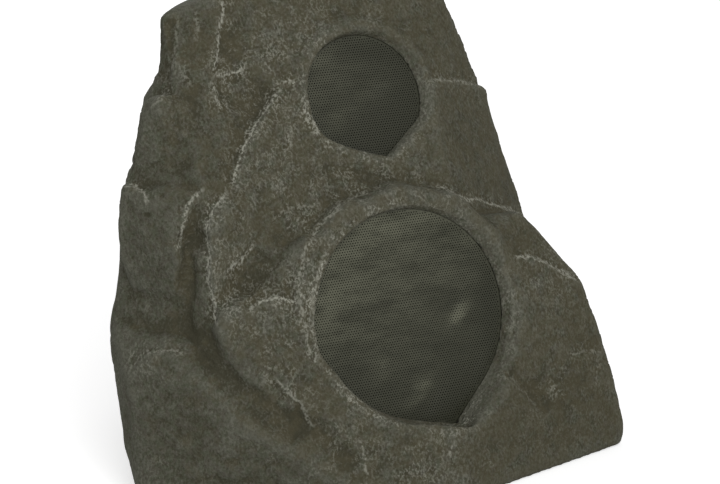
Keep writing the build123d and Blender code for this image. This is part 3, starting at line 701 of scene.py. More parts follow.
places = places_of(rock)
normals = normals_of(rock)
facing = normals @ to_camera
hidden = ramp(-facing, hidden_start, hidden_fade)
clear_of_foot = ramp(places[:, 2], foot_clear, foot_fade)
clear_of_gland = ramp(about_axis(places, gland_face, gland_axis)[0], gland_clear, gland_fade)
clear_of_outline = ramp(np.abs(facing), 0, outline_fade) ** 2
clear_of_rims = np.ones(len(places))
for mouth in mouths:
    clear_of_rims = np.minimum(clear_of_rims, ramp(past_lip(places, mouth)[0], 0, rim_fade))
relief("hidden_lumps", lump_size, lump_height, False, hidden * clear_of_foot * clear_of_gland)
leftward = np.clip(-(normals @ photo_right), 0, 1)
chipped = chips_seen + chips_hidden * hidden - chips_spared * leftward * (1 - hidden)
chipped *= clear_of_foot * clear_of_rims * clear_of_outline
relief("chips", chip_size, chip_height, True, chipped)

# The skin stays above the ground and inside the CAD's box, and the hollow is cut out of it
crease = radians(60)
low_corner, high_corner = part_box("rock_shell")
put_places(rock, np.clip(places_of(rock), np.array(low_corner), np.array(high_corner)))
apply_modifier(rock, "BOOLEAN", object=hollow, operation="DIFFERENCE", solver="MANIFOLD")
bpy.data.objects.remove(hollow)
rock.vertex_groups.clear()
rock.data.materials.clear()
only(rock)
bpy.ops.object.shade_smooth_by_angle(angle=crease)

# The rock's finish
# The stone is coloured through, a dark olive grey with a sandy grain, and its high places were
# dry brushed with a paler paint. Values on the skin's points say where it is proud, where it is pale
# and where painted shade and painted light lie.
crest_rounds = 4
crest_height = 0.00022
swell_rounds = 40
swell_height = 0.0022
brow_left = ((374, 191), (356, 196), (343, 205))
wrist_line = ((176, 82), (163, 94), (146, 110))
right_outline = ((528, 212), (548, 236), (566, 258), (583, 284))
rim_inner_line = ((333, 238), (322, 258), (315, 280), (313, 300), (315, 325), (322, 348), (334, 370))
cheek_streak = ((283, 126), (287, 138), (293, 153))
mouth_streak = ((277, 84), (286, 81), (298, 80))
first_drip = ((437, 424), (433, 434), (431, 446))
second_drip = ((456, 438), (450, 450), (448, 464))
right_crest = ((598, 352), (595, 370), (595, 392))
strip_streak = ((194, 6), (196, 26), (193, 46))
fold_streak = ((176, 60), (184, 76), (191, 92))
line_reach = 8.0
line_shift = 1.0
farthest_line = 14.0
# Each line that caught the brush has its strength
brushed_lines = (
    (top_scoop_edge, 1.0), (pocket_top_edge, 1.0), (pocket_left_edge, 1.0),
    (pocket_right_edge, 0.8), (long_ridge_top, 1.0), (long_ridge_foot, 1.0), (left_ridge, 0.9),
    (foot_top_edge, 0.45), (scoop_ridge, 1.0), (block_edge, 1.0), (apron_edge, 0.6),
    (brow_left, 0.5), (brow_right, 0.8), (right_ridge, 0.9), (right_crack, 0.25),
    (lower_right_edge, 0.35), (right_crest, 0.3), (upper_right_edge, 0.6), (shoulder_edge, 0.8),
    (wrist_line, 0.5), (apron_ridge, 0.6), (crown_crack, 0.5), (knob_line, 0.4),
    (cheek_streak, 0.6), (mouth_streak, 0.9), (rim_left_line, 0.6), (rim_inner_line, 0.5),
    (rim_right_line, 0.15), (right_outline, 0.5), (first_drip, 0.5), (second_drip, 0.6),
    (strip_edge, 0.3), (strip_streak, 0.35), (fold_streak, 0.4),
)
# Each worn patch has its pixel, its radius and how pale it is
worn_patches = (
    (262, 63, 16, 0.35), (288, 81, 12, 0.55), (268, 371, 16, 0.45), (232, 305, 14, 0.3),
    (548, 276, 24, 0.5), (558, 384, 16, 0.8), (492, 466, 8, 0.5), (330, 70, 30, 0.2),
    (300, 210, 22, 0.2), (425, 448, 26, 0.2), (150, 362, 24, 0.3), (165, 95, 12, 0.3),
    (310, 290, 14, 0.3), (404, 152, 9, 0.5), (352, 182, 13, 0.35), (384, 179, 16, 0.35),
    (420, 184, 16, 0.4), (185, 75, 12, 0.25), (290, 396, 11, 0.4), (160, 468, 14, 0.25),
    (272, 456, 8, 0.4), (140, 357, 10, 0.3),
)
# Each patch of painted shade has its pixel, half its width and height, and how dark it is; those less than
# 0 are painted light
painted_shade_patches = (
    (166, 46, 9, 40, 1.0), (183, 122, 28, 26, 0.6), (232, 45, 12, 24, 0.6), (250, 100, 24, 18, 0.9),
    (240, 135, 14, 22, 0.5), (223, 175, 10, 24, 0.5), (348, 174, 36, 9, 0.6),
    (534, 234, 22, 16, 0.8), (190, 325, 8, 22, 0.6), (205, 354, 13, 18, 0.7),
    (232, 386, 16, 16, 0.4), (262, 408, 18, 14, 0.4), (302, 426, 28, 14, 0.9),
    (258, 288, 28, 9, 0.7), (532, 388, 16, 12, 0.7), (195, 55, 20, 60, 0.6),
    (560, 400, 45, 50, 0.25), (440, 462, 60, 22, 0.25), (193, 239, 9, 6, 0.9),
    (172, 180, 18, 9, -0.6), (490, 376, 8, 11, -0.8), (480, 392, 9, 11, -0.9),
    (470, 408, 10, 11, -1.1), (464, 420, 9, 7, -1.2), (590, 320, 40, 60, 0.4),
    (560, 430, 60, 30, 0.3),
)
pit_spread = 1.5
lightest_shade = -1.5
front_left_edge = (
    (0, 222), (80, 216), (140, 228), (200, 206), (330, 214), (375, 256), (400, 296), (430, 318),
    (484, 310),
)
front_right_edge = ((0, 330), (165, 335), (200, 350), (260, 322), (420, 330), (484, 440))
front_left_fade = 14
front_right_fade = 90
front_least = 0.1
front_paint = 0.38
facing_start = 0.1
facing_fade = 0.4
turned_fade = 0.3
turned_paint = 0.5
rim_lowest = 0.001
rim_middle = 0.004
rim_band = 0.0065
rim_paint = 0.68
rim_paint_leftward = 0.32
# The woofer's lower right tip gets brush paint that is also painted light over the shade in its deep corner
tip_pixel = (470, 412)
tip_reach = 14
tip_paint_and_light = 0.6
warmth_rightward = 0.8


def store(piece, name, values):
    """Keeps one number for each point on the piece, for its material."""
    attribute = piece.data.attributes.new(name, "FLOAT", "POINT")
    attribute.data.foreach_set("value", values.astype(np.float32))


def brush_lines(places, normals):
    """The side of the nearest brushed line that each point is on, in pixels, and its nearness."""
    pixels = photo_pixels(places) + wander(places)
    facing = facing_camera(normals)
    nearest = np.full(len(places), farthest_line)
    nearness = np.zeros(len(places))
    for line, strength in brushed_lines:
        side, taper = along_line(pixels, line)
        side = side + line_shift
        closer = np.abs(side) < np.abs(nearest)
        nearest[closer] = side[closer]
        nearness[closer] = (strength * taper * facing * np.exp(-((side / line_reach) ** 2)))[closer]
    return nearest, nearness


def brushed(places, normals):
    """How much pale paint the brush left on the front and on the mouths' rims, with brush paint and painted
    light at the woofer's lower right tip.
    """
    pixels = photo_pixels(places)
    right, down = pixels.T
    front_left = np.interp(down, *np.array(front_left_edge, float).T)
    front_right = np.interp(down, *np.array(front_right_edge, float).T)
    paint = ramp(right, front_left - front_left_fade / 2, front_left_fade)
    paint *= np.clip(1 - (right - front_right) / front_right_fade, front_least, 1)
    paint *= ramp(normals @ to_camera, facing_start, facing_fade)
    turned = ramp(-(normals @ to_camera), 0, turned_fade)
    paint = front_paint * np.maximum(paint, turned_paint * turned)
    for across, below, radius, amount in worn_patches:
        paint += amount * oval(pixels, across, below, radius, radius) * (1 - turned)
    for mouth in mouths:
        beyond, height, turns = past_lip(places, mouth)
        band = np.exp(-(((beyond - rim_middle) / rim_band) ** 2)) * (height > rim_lowest)
        paint = np.maximum(paint, (rim_paint - rim_paint_leftward * np.cos(turns)) * band)
    return paint + tip_paint_and_light * oval(pixels, *tip_pixel, tip_reach, tip_reach)


def painted_shading(places, normals):
    """How much painted shade darkens the stone in hollows and on some of its sides, and painted light pales
    it where it is less than 0.
    """
    pixels = photo_pixels(places)
    shade = np.zeros(len(places))
    for *place_and_size, amount in painted_shade_patches:
        shade += amount * oval(pixels, *place_and_size)
    # Each pit gets painted shade as well as its carved depth
    for right, down, radius, _ in pits:
        shade += oval(pixels, right, down, radius + pit_spread, radius + pit_spread)
    return shade * facing_camera(normals)


places = places_of(rock)
normals = normals_of(rock)
ends = edge_ends(rock)
proud = np.sum((places - settled(places, ends, crest_rounds)) * normals, axis=1)
swell = np.sum((places - settled(places, ends, swell_rounds)) * normals, axis=1)
line_side, line_nearness = brush_lines(places, normals)
store(rock, "crest", np.clip(proud / crest_height, -1, 1))
# swell also gives the stone painted shade in its hollows
store(rock, "swell", np.clip(swell / swell_height, -1, 1))
store(rock, "line_side", line_side)
store(rock, "line_nearness", line_nearness)
store(rock, "warmth", np.clip(0.5 + warmth_rightward * (normals @ photo_right), 0, 1))
# The points keep the painted shade, less than 0 where it is painted light
store(rock, "shade", np.clip(painted_shading(places, normals), lightest_shade, 1))
store(rock, "brush", np.clip(brushed(places, settled(normals, ends, crest_rounds)), 0, 1))


def new_material(name):
    """A material, its nodes and its surface shader."""
    material = bpy.data.materials.new(name)
    material.use_nodes = True
    return material, material.node_tree, material.node_tree.nodes["Principled BSDF"]


def grain(tree, size, detail=4.0, roughness=0.6, stretch=(1, 1, 1)):
    """A noise on the piece's own coordinates with features of that size in metres."""
    coordinates = tree.nodes.new("ShaderNodeTexCoord")
    mapping = tree.nodes.new("ShaderNodeMapping")
    mapping.inputs["Scale"].default_value = stretch
    texture = tree.nodes.new("ShaderNodeTexNoise")
    texture.inputs["Scale"].default_value = 1 / size
    texture.inputs["Detail"].default_value = detail
    texture.inputs["Roughness"].default_value = roughness
    tree.links.new(coordinates.outputs["Object"], mapping.inputs["Vector"])
    tree.links.new(mapping.outputs["Vector"], texture.inputs["Vector"])
    return texture.outputs["Fac"]


def point_value(tree, name):
    """A number kept on the piece's points."""
    node = tree.nodes.new("ShaderNodeAttribute")
    node.attribute_name = name
    return node.outputs["Fac"]


def put(tree, socket, value):
    """Gives a socket a link or a plain number."""
    if isinstance(value, bpy.types.NodeSocket):
        tree.links.new(value, socket)
    else:
        socket.default_value = value


def sums(tree, operation, first, second=0.0):
    """One sum of two numbers or links."""
    node = tree.nodes.new("ShaderNodeMath")
    node.operation = operation
    put(tree, node.inputs[0], first)
    put(tree, node.inputs[1], second)
    return node.outputs["Value"]


def product(tree, first, second):
    """Two numbers or links, multiplied."""
    return sums(tree, "MULTIPLY", first, second)


def weighted(tree, start, *terms):
    """A number and some links, each times its weight, added up."""
    total = start
    for value, weight in terms:
        total = sums(tree, "ADD", total, product(tree, value, weight))
    return total


def levels(tree, value, low, high):
    """Spreads the values between low and high over 0 to 1."""
    node = tree.nodes.new("ShaderNodeMapRange")
    node.interpolation_type = "SMOOTHSTEP"
    put(tree, node.inputs["Value"], value)
    put(tree, node.inputs["From Min"], low)
    put(tree, node.inputs["From Max"], high)
    return node.outputs["Result"]


def blend(tree, factor, first, second):
    """A mix of two colours, each a link or three linear shares."""
    node = tree.nodes.new("ShaderNodeMix")
    node.data_type = "RGBA"
    put(tree, node.inputs[0], factor)
    for socket, colour in ((node.inputs[6], first), (node.inputs[7], second)):
        put(tree, socket, colour if isinstance(colour, bpy.types.NodeSocket) else (*colour, 1))
    return node.outputs[2]


def relief_of(tree, shader, *layers):
    """Bump from heights that each have a strength and a depth in metres."""
    below = None
    for height, strength, depth in layers:
        node = tree.nodes.new("ShaderNodeBump")
        node.inputs["Strength"].default_value = strength
        node.inputs["Distance"].default_value = depth
        tree.links.new(height, node.inputs["Height"])
        if below is not None:
            tree.links.new(below, node.inputs["Normal"])
        below = node.outputs["Normal"]
    tree.links.new(below, shader.inputs["Normal"])


# The stone's linear colours, then where they change over and how the brushed paint breaks up
stone_dark = (0.045, 0.0425, 0.0270)
stone_olive = (0.0658, 0.0698, 0.0474)
stone_violet = (0.0706, 0.0668, 0.0505)
stone_brown = (0.0765, 0.0675, 0.0400)
stone_light = (0.0940, 0.0938, 0.0720)
stone_brushed = (0.312, 0.310, 0.258)
dark_tones = (0.36, 0.52)
light_tones = (0.50, 0.66)
violet_hues = (0.36, 0.64)
brown_tints = (0.44, 0.72)
brown_rightward = 0.32
brown_share = 0.5
tone_start = -0.0358
line_start = -5.5
fibre_width = 0.075
fibre_breaks = (0.36, 0.58)
line_breaks = (0.32, 0.62)
grain_tops = (0.52, 0.72)
grain_paint = 0.6
patch_edges = (0.40, 0.62)
patch_least = 0.14
patch_gain = 1.2
brush_power = 1.5
paint_everywhere = 0.09
line_middle = 0.1
line_thinnest = -1.1
line_paint = 0.95
stone_roughness = 0.9
stone_shine = 0.12
streak = (1, 1, 0.75)

stone, tree, shader = new_material("stone")
broad = grain(tree, 0.040, 3.0, 0.55)
patch = grain(tree, 0.009, 3.0, 0.55)
tint = grain(tree, 0.011, 3.0, 0.6)
hue = grain(tree, 0.0042, 2.0, 0.5)
knob = grain(tree, 0.0052, 2.0, 0.5)
sand = grain(tree, 0.0012, 2.0, 0.5)
fleck = grain(tree, 0.0017, 2.0, 0.5, streak)
worm = grain(tree, 0.0030, 2.0, 0.5, streak)
rightward = sums(tree, "SUBTRACT", point_value(tree, "warmth"), 0.5)
coarse = product(tree, sums(tree, "SUBTRACT", fleck, 0.5), sums(tree, "MAXIMUM", rightward))
tone = weighted(
    tree,
    tone_start,
    (broad, 0.22),
    (patch, 0.05),
    (fleck, 0.38),
    (sand, 0.32),
    (coarse, 0.7),
    (knob, 0.10),
    # swell darkens the hollows and pales the swellings, painted shade for the relief
    (point_value(tree, "swell"), 0.08),
    (point_value(tree, "crest"), 0.05),
    # painted shade of the patches, and painted light where it is less than 0
    (point_value(tree, "shade"), -0.13),
)
plain = blend(tree, levels(tree, hue, *violet_hues), stone_olive, stone_violet)
ground = blend(tree, levels(tree, tone, *dark_tones), stone_dark, plain)
ground = blend(tree, levels(tree, tone, *light_tones), ground, stone_light)
brownness = levels(tree, weighted(tree, tint, (rightward, brown_rightward)), *brown_tints)
ground = blend(tree, product(tree, brownness, brown_share), ground, stone_brown)
off_middle = sums(tree, "ABSOLUTE", sums(tree, "SUBTRACT", worm, 0.5))
fibres = product(tree, levels(tree, off_middle, fibre_width, 0.0), levels(tree, fleck, *fibre_breaks))
grains = product(tree, levels(tree, fleck, *grain_tops), grain_paint)
specks = sums(tree, "MAXIMUM", fibres, grains)
patchy = levels(tree, weighted(tree, 0.0, (patch, 0.6), (broad, 0.4)), *patch_edges)
line_nearness = point_value(tree, "line_nearness")
brush = sums(tree, "POWER", point_value(tree, "brush"), brush_power)
spread = weighted(tree, paint_everywhere, (brush, 0.80), (line_nearness, 0.35))
spread = product(tree, spread, weighted(tree, patch_least, (patchy, patch_gain)))
line_side = weighted(tree, line_start, (point_value(tree, "line_side"), 1.0), (worm, 6.0), (patch, 5.0))
line_edge = weighted(tree, line_thinnest, (tint, 5.5), (fleck, 2.0))
core = levels(tree, sums(tree, "ABSOLUTE", line_side), line_edge, line_middle)
lines = product(tree, product(tree, core, line_nearness), levels(tree, fleck, *line_breaks))
paint = sums(tree, "MAXIMUM", product(tree, specks, spread), product(tree, lines, line_paint))
tree.links.new(blend(tree, paint, ground, stone_brushed), shader.inputs["Base Color"])
shader.inputs["Roughness"].default_value = stone_roughness
shader.inputs["Specular IOR Level"].default_value = stone_shine
relief_of(
    tree,
    shader,
    (patch, 0.4, 0.003),
    (knob, 0.45, 0.002),
    (worm, 0.4, 0.0015),
    (fleck, 0.65, 0.0012),
    (sand, 0.5, 0.0008),
)
rock.data.materials.append(stone)
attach(rock, "rock")
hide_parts("rock_shell")

# Base plate and its seal
# A moulded plate of black plastic closes the foot from below, on a soft gasket, and eight
# zinc plated screws hold it to the casting.


def dress(material, *nodes):
    """Gives CAD nodes a material in place of their own."""
    for name in nodes:
        for material_slot in frame["nodes"][name].material_slots:
            material_slot.material = material


def mottled(
    name, noise, dark, light, roughness, bump, spread=(0.3, 0.7), uneven=0, finer=None, metallic=0, sheen=0
):
    """A material whose colour and roughness follow a noise, and its relief that or a finer one."""
    material, tree, shader = new_material(name)
    pattern = grain(tree, *noise)
    tree.links.new(blend(tree, levels(tree, pattern, *spread), dark, light), shader.inputs["Base Color"])
    rough = weighted(tree, roughness, (pattern, uneven)) if uneven else roughness
    put(tree, shader.inputs["Roughness"], rough)
    shader.inputs["Metallic"].default_value = metallic
    shader.inputs["Sheen Weight"].default_value = sheen
    relief_of(tree, shader, (grain(tree, *finer) if finer else pattern, *bump))
    return material


black_plastic = mottled(
    "black_plastic", noise=(0.03, 3.0, 0.5), dark=(0.010, 0.010, 0.010),
    light=(0.022, 0.022, 0.021), roughness=0.42, uneven=0.2, finer=(0.0011, 3.0, 0.6),
    bump=(0.35, 0.0004),
)
dress(black_plastic, "base_plate")

rubber_seal = mottled(
    "rubber_seal", noise=(0.0008, 2.0, 0.5), spread=(0.35, 0.65), dark=(0.006, 0.006, 0.006),
    light=(0.016, 0.016, 0.016), roughness=0.9, bump=(0.5, 0.0004),
)
dress(rubber_seal, "base_gasket")

steel = mottled(
    "steel", noise=(0.004, 4.0, 0.6), dark=(0.42, 0.42, 0.43), light=(0.58, 0.58, 0.57),
    roughness=0.2, uneven=0.25, finer=(0.0006, 2.0, 0.5, (1, 1, 6)), bump=(0.15, 0.0002),
    metallic=1,
)
dress(steel, "base_screws")

# Woofer
# A pressed steel basket carries a motor of top plate, ferrite ring and yoke. A moulded cone with
# its dust cap and voice coil moves in it, held by a rubber surround and a cloth spider.
painted_steel = mottled(
    "painted_steel", noise=(0.03, 3.0, 0.5), dark=(0.008, 0.008, 0.009),
    light=(0.018, 0.018, 0.018), roughness=0.42, finer=(0.0016, 3.0, 0.5), bump=(0.25, 0.0005),
)
dress(painted_steel, "woofer_basket")
dress(rubber_seal, "woofer_gasket")
dress(black_plastic, "woofer_terminal")
dress(steel, "woofer_screws", "woofer_top_plate", "woofer_yoke")

ferrite = mottled(
    "ferrite", noise=(0.0012, 4.0, 0.7), dark=(0.020, 0.020, 0.022), light=(0.045, 0.044, 0.045),
    roughness=0.68, bump=(0.3, 0.0004),
)
dress(ferrite, "woofer_magnet")

cone_plastic = mottled(
    "cone_plastic", noise=(0.010, 4.0, 0.6, (1, 1, 3)), dark=(0.008, 0.008, 0.009),
    light=(0.020, 0.020, 0.020), roughness=0.34, uneven=0.2, bump=(0.2, 0.0006),
)
dress(cone_plastic, "woofer_cone", "woofer_dust_cap")

copper_dark = (0.30, 0.10, 0.035)
copper_light = (0.62, 0.24, 0.09)
wire_turns = 700
copper_wire, tree, shader = new_material("copper_wire")
winding = tree.nodes.new("ShaderNodeTexWave")
winding.bands_direction = "Y"
winding.inputs["Scale"].default_value = wire_turns
winding.inputs["Distortion"].default_value = 1.0
coordinates = tree.nodes.new("ShaderNodeTexCoord")
tree.links.new(coordinates.outputs["Object"], winding.inputs["Vector"])
colour = blend(tree, winding.outputs["Fac"], copper_dark, copper_light)
tree.links.new(colour, shader.inputs["Base Color"])
shader.inputs["Metallic"].default_value = 1.0
shader.inputs["Roughness"].default_value = 0.32
relief_of(tree, shader, (winding.outputs["Fac"], 0.5, 0.0003))
dress(copper_wire, "woofer_voice_coil")

# The surround and the spider, between the basket and the cone, are copied from the CAD as pieces of their
# own with smooth shading
spring_crease = radians(40)


def flexing(node, name, material):
    """A copy of a CAD spring with smooth shading and its material, in the CAD node's place."""
    piece = cad_copy(node, name)
    bpy.ops.object.shade_smooth_by_angle(angle=spring_crease)
    piece.data.materials.append(material)
    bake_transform(piece)
    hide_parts(node)
    return piece


rubber_surround = mottled(
    "rubber_surround", noise=(0.006, 4.0, 0.6), dark=(0.006, 0.006, 0.006),
    light=(0.015, 0.015, 0.015), roughness=0.6, bump=(0.2, 0.0005),
)
surround = flexing("woofer_surround", "surround_roll", rubber_surround)

thread_light = (0.55, 0.40, 0.16, 1)
thread_dark = (0.40, 0.27, 0.10, 1)
thread_stain = (0.36, 0.24, 0.09)
threads_per_metre = 900
spider_cloth, tree, shader = new_material("spider_cloth")
weave = tree.nodes.new("ShaderNodeTexChecker")
weave.inputs["Scale"].default_value = threads_per_metre
weave.inputs["Color1"].default_value = thread_light
weave.inputs["Color2"].default_value = thread_dark
coordinates = tree.nodes.new("ShaderNodeTexCoord")
tree.links.new(coordinates.outputs["Object"], weave.inputs["Vector"])
stain = levels(tree, grain(tree, 0.01, 3.0, 0.6), 0.3, 0.8)
tree.links.new(blend(tree, stain, weave.outputs["Color"], thread_stain), shader.inputs["Base Color"])
shader.inputs["Roughness"].default_value = 0.85
relief_of(tree, shader, (weave.outputs["Fac"], 0.4, 0.0003))
spider = flexing("woofer_spider", "spider_disc", spider_cloth)

# Tweeter
# A coated silk dome sits in a moulded faceplate with a small ferrite motor behind, screwed to
# the back of its seat on a gasket.
dress(black_plastic, "tweeter_faceplate")
dress(rubber_seal, "tweeter_gasket")
dress(steel, "tweeter_screws", "tweeter_yoke")
dress(ferrite, "tweeter_magnet")
dome_silk = mottled(
    "dome_silk", noise=(0.0005, 2.0, 0.5), spread=(0.35, 0.65), dark=(0.010, 0.010, 0.011),
    light=(0.028, 0.028, 0.028), roughness=0.5, bump=(0.4, 0.0002), sheen=0.3,
)
dress(dome_silk, "tweeter_dome")

# Crossover
# A small circuit board on the base plate's standoffs, with a choke, two film capacitors and a
# ceramic resistor. Jacketed leads run from it to the two speakers.
circuit_board = mottled(
    "circuit_board", noise=(0.0014, 2.0, 0.5), dark=(0.010, 0.070, 0.028),
    light=(0.020, 0.105, 0.045), roughness=0.36, bump=(0.15, 0.0002),
)
dress(circuit_board, "crossover_board")

capacitor_film = mottled(
    "capacitor_film", noise=(0.004, 3.0, 0.5, (1, 1, 4)), dark=(0.42, 0.30, 0.045),
    light=(0.56, 0.42, 0.08), roughness=0.3, bump=(0.2, 0.0003),
)
dress(capacitor_film, "crossover_capacitors")

resistor_ceramic = mottled(
    "resistor_ceramic", noise=(0.0012, 4.0, 0.6), dark=(0.62, 0.61, 0.57), light=(0.76, 0.75, 0.71),
    roughness=0.75, bump=(0.35, 0.0003),
)
dress(resistor_ceramic, "crossover_resistor")

lead_jacket = mottled(
    "lead_jacket", noise=(0.008, 3.0, 0.5), dark=(0.22, 0.014, 0.012), light=(0.34, 0.026, 0.020),
    roughness=0.45, bump=(0.15, 0.0004),
)
dress(lead_jacket, "woofer_lead", "tweeter_lead")
dress(copper_wire, "crossover_choke")
dress(steel, "crossover_screws")
dress(black_plastic, "input_terminal")

# Cable gland
# A moulded gland with a clamping nut and a rubber insert, screwed through the back of the rock
# and held by a locknut inside.
dress(black_plastic, "gland_body", "gland_nut", "gland_locknut")
dress(rubber_seal, "gland_seal")

# Grilles
# Each is a round of perforated steel sheet with its rim turned back, painted to suit the stone
# and pressed into its recess. Handling has left shallow dents in the thin sheet.
grille_sheet = 0.0010
grille_gap = 0.0003
hole_pitch = 0.00194
hole_width = 0.00092
cell_radius = hole_pitch / sqrt(3)
row_height = hole_pitch * sqrt(3) / 2
cell_weld = hole_pitch / 50
outer_side = 0.9 * cell_radius
blank_border = 0.0010
rim_bend = 0.0009
bend_middle = 0.3
rim_window = 9
dent_border = 0.003
dent_fade = 0.008


def honeycomb(name, reach, corner):
    """A flat sheet of six sided cells, each with its hole, out to a mouth of that reach."""
    farthest = reach / cos(corner[1])
    columns = 2 * int(farthest / hole_pitch) + 3
    rows = 2 * int(farthest / row_height / 2) + 3
    bpy.ops.object.select_all(action="DESELECT")
    bpy.ops.mesh.primitive_circle_add(vertices=6, radius=cell_radius, fill_type="NGON")
    sheet = bpy.context.active_object
    sheet.name = name
    sheet.data.name = name
    with editing():
        bpy.ops.mesh.select_all(action="SELECT")
        bpy.ops.mesh.duplicate()
        bpy.ops.transform.translate(value=(hole_pitch / 2, row_height, 0))
        bpy.ops.mesh.select_all(action="SELECT")
        bpy.ops.transform.translate(value=(-(columns // 2) * hole_pitch, -(rows // 2) * 2 * row_height, 0))
    for count, step in ((columns, (hole_pitch, 0, 0)), (rows, (0, 2 * row_height, 0))):
        apply_modifier(
            sheet,
            "ARRAY",
            count=count,
            use_relative_offset=False,
            use_constant_offset=True,
            constant_offset_displace=step,
        )
    centres = np.array([face.center[:2] for face in sheet.data.polygons])
    stretch = corner_stretch(np.arctan2(centres[:, 1], centres[:, 0]), corner)
    pick(sheet, faces=np.linalg.norm(centres, axis=1) / stretch > reach - cell_radius)
    with editing():
        bpy.ops.mesh.delete(type="FACE")
        bpy.ops.mesh.select_all(action="SELECT")
        bpy.ops.mesh.remove_doubles(threshold=cell_weld)
        bpy.ops.mesh.select_all(action="SELECT")
        bpy.ops.mesh.inset(thickness=(hole_pitch - hole_width) / 2, use_individual=True)
        bpy.ops.mesh.delete(type="FACE")
    return sheet


def loop_in_order(piece, edges):
    """The points of one closed loop of edges, in the order that it runs."""
    neighbours = {}
    for first, second in edge_ends(piece)[edges].tolist():
        neighbours.setdefault(first, []).append(second)
        neighbours.setdefault(second, []).append(first)
    start = min(neighbours)
    order = [start]
    before, here = start, neighbours[start][0]
    while here != start:
        order.append(here)
        onward = [point for point in neighbours[here] if point != before]
        before, here = here, onward[0]
    return np.array(order)


def outer_edges(sheet):
    """The edges of the ragged outer outline, which are longer than those of the holes."""
    only(sheet)
    with editing():
        select_open_edges()
    ends = places_of(sheet)[edge_ends(sheet)]
    lengths = np.linalg.norm(ends[:, 0] - ends[:, 1], axis=1)
    return values_of(sheet.data.edges, "select", kind=bool) & (lengths > outer_side)


def turn_rim(sheet, rings, corner):
    """Runs the sheet's ragged outer edge out to even rings, each with a radius and a height."""
    edges = outer_edges(sheet)
    for radius, height in rings:
        pick(sheet, edges=edges)
        with editing():
            bpy.ops.mesh.extrude_edges_move()
        edges = values_of(sheet.data.edges, "select", kind=bool)
        order = loop_in_order(sheet, edges)
        places = places_of(sheet)
        turns = np.unwrap(np.arctan2(places[order, 1], places[order, 0]))
        full_turn = np.copysign(2 * pi, turns[-1] - turns[0])
        wide = np.concatenate((turns - full_turn, turns, turns + full_turn))
        window = np.ones(rim_window) / rim_window
        turns = np.convolve(wide, window, mode="same")[len(order) : 2 * len(order)]
        reach = radius * corner_stretch(turns, corner)
        level = np.full(len(order), height)
        places[order] = np.stack((reach * np.cos(turns), reach * np.sin(turns), level), axis=1)
        put_places(sheet, places)


def grille(name, centre, lean, recess, corner, dents):
    """A whole grille: honeycomb, dents, turned rim and the thickness of its sheet."""
    radius = recess - grille_gap
    sheet = honeycomb(name, radius - blank_border, corner)
    rings = (
        (radius - rim_bend, 0),
        (radius - rim_bend * bend_middle, -rim_bend * bend_middle),
        (radius, -rim_bend),
        (radius, -grille_depth),
    )
    turn_rim(sheet, rings, corner)
    places = places_of(sheet)
    reach = np.linalg.norm(places[:, :2], axis=1)
    reach = reach / corner_stretch(np.arctan2(places[:, 1], places[:, 0]), corner)
    flat = ramp(radius - reach, dent_border, dent_fade)
    for *place_and_size, depth in dents:
        places[:, 2] -= flat * depth * oval(places[:, :2], *place_and_size)
    put_places(sheet, places)
    stand_up(sheet, centre, lean)
    only(sheet)
    with editing():
        turn_outward()
    middle = max(sheet.data.polygons, key=lambda face: -(face.center - centre).length)
    if middle.normal.dot(outward(lean)) < 0:
        sheet.data.flip_normals()
    apply_modifier(sheet, "SOLIDIFY", thickness=grille_sheet, offset=-1.0)
    return sheet


# Each dent has its place right and up from the middle, half its length and width, turn and depth
woofer_dents = (
    (0.036, 0.002, 0.020, 0.006, 65, 0.0012), (0.012, -0.056, 0.016, 0.006, 50, 0.0010),
    (-0.030, 0.010, 0.030, 0.010, 10, 0.0008), (-0.020, -0.030, 0.022, 0.009, -20, 0.0007),
    (0.010, 0.035, 0.028, 0.012, 5, 0.0008), (0.048, -0.030, 0.020, 0.010, 80, 0.0008),
)
tweeter_dents = ((0.006, 0.004, 0.014, 0.006, 20, 0.0006), (-0.014, -0.012, 0.012, 0.006, -30, 0.0005))
# Each patch of painted sheen has its pixel, half its length and width, its turn and how pale it is; those
# less than 0 are painted shade
woofer_painted_light = (
    (461, 311, 14, 6, -58, 0.75), (420, 391, 16, 8, -55, 0.5), (384, 366, 9, 6, -70, 0.2),
    (331, 306, 20, 10, 80, 0.25), (372, 236, 34, 14, -25, 0.2), (352, 376, 26, 20, 45, -0.15),
    (488, 300, 55, 10, 85, -0.15),
)
tweeter_painted_light = ((340, 118, 22, 10, -20, 0.15), (372, 90, 20, 10, -20, 0.12), (360, 48, 50, 14, 10, -0.2))
# The paint is painted paler toward the upper left of each grille and darker toward its lower right, and the
# tweeter's grille is given painted shade all over
painted_light_side = (-0.5, 0.7)
painted_light_change = 0.3
woofer_painted_light_offset = 0.0
tweeter_painted_light_offset = -0.18


def grille_painted_light(places, centre, lean, recess, painted_light_patches, painted_light_offset):
    """How much painted sheen pales the paint at each point, and painted shade darkens it."""
    pixels = photo_pixels(places)
    offset = places - np.array(centre)
    up = offset @ np.array((0, sin(lean), cos(lean)))
    pale = painted_light_offset + painted_light_change * (offset[:, 0] * painted_light_side[0] + up * painted_light_side[1]) / recess
    for *place_and_size, amount in painted_light_patches:
        pale += amount * oval(pixels, *place_and_size)
    return pale


paint_dark = (0.023, 0.0238, 0.0135)
paint_pale = (0.098, 0.0995, 0.068)
pale_start = 0.3
pale_range = (-0.1, 1.0)
dust_least = 0.45
dust_gain = 1.1
paint_shine = 0.25
grille_paint, tree, shader = new_material("grille_paint")
dust = grain(tree, 0.016, 5.0, 0.7, (0.5, 0.5, 1.3))
speck = grain(tree, 0.0016, 3.0, 0.6)
dusty = weighted(tree, dust_least, (levels(tree, dust, 0.3, 0.7), dust_gain))
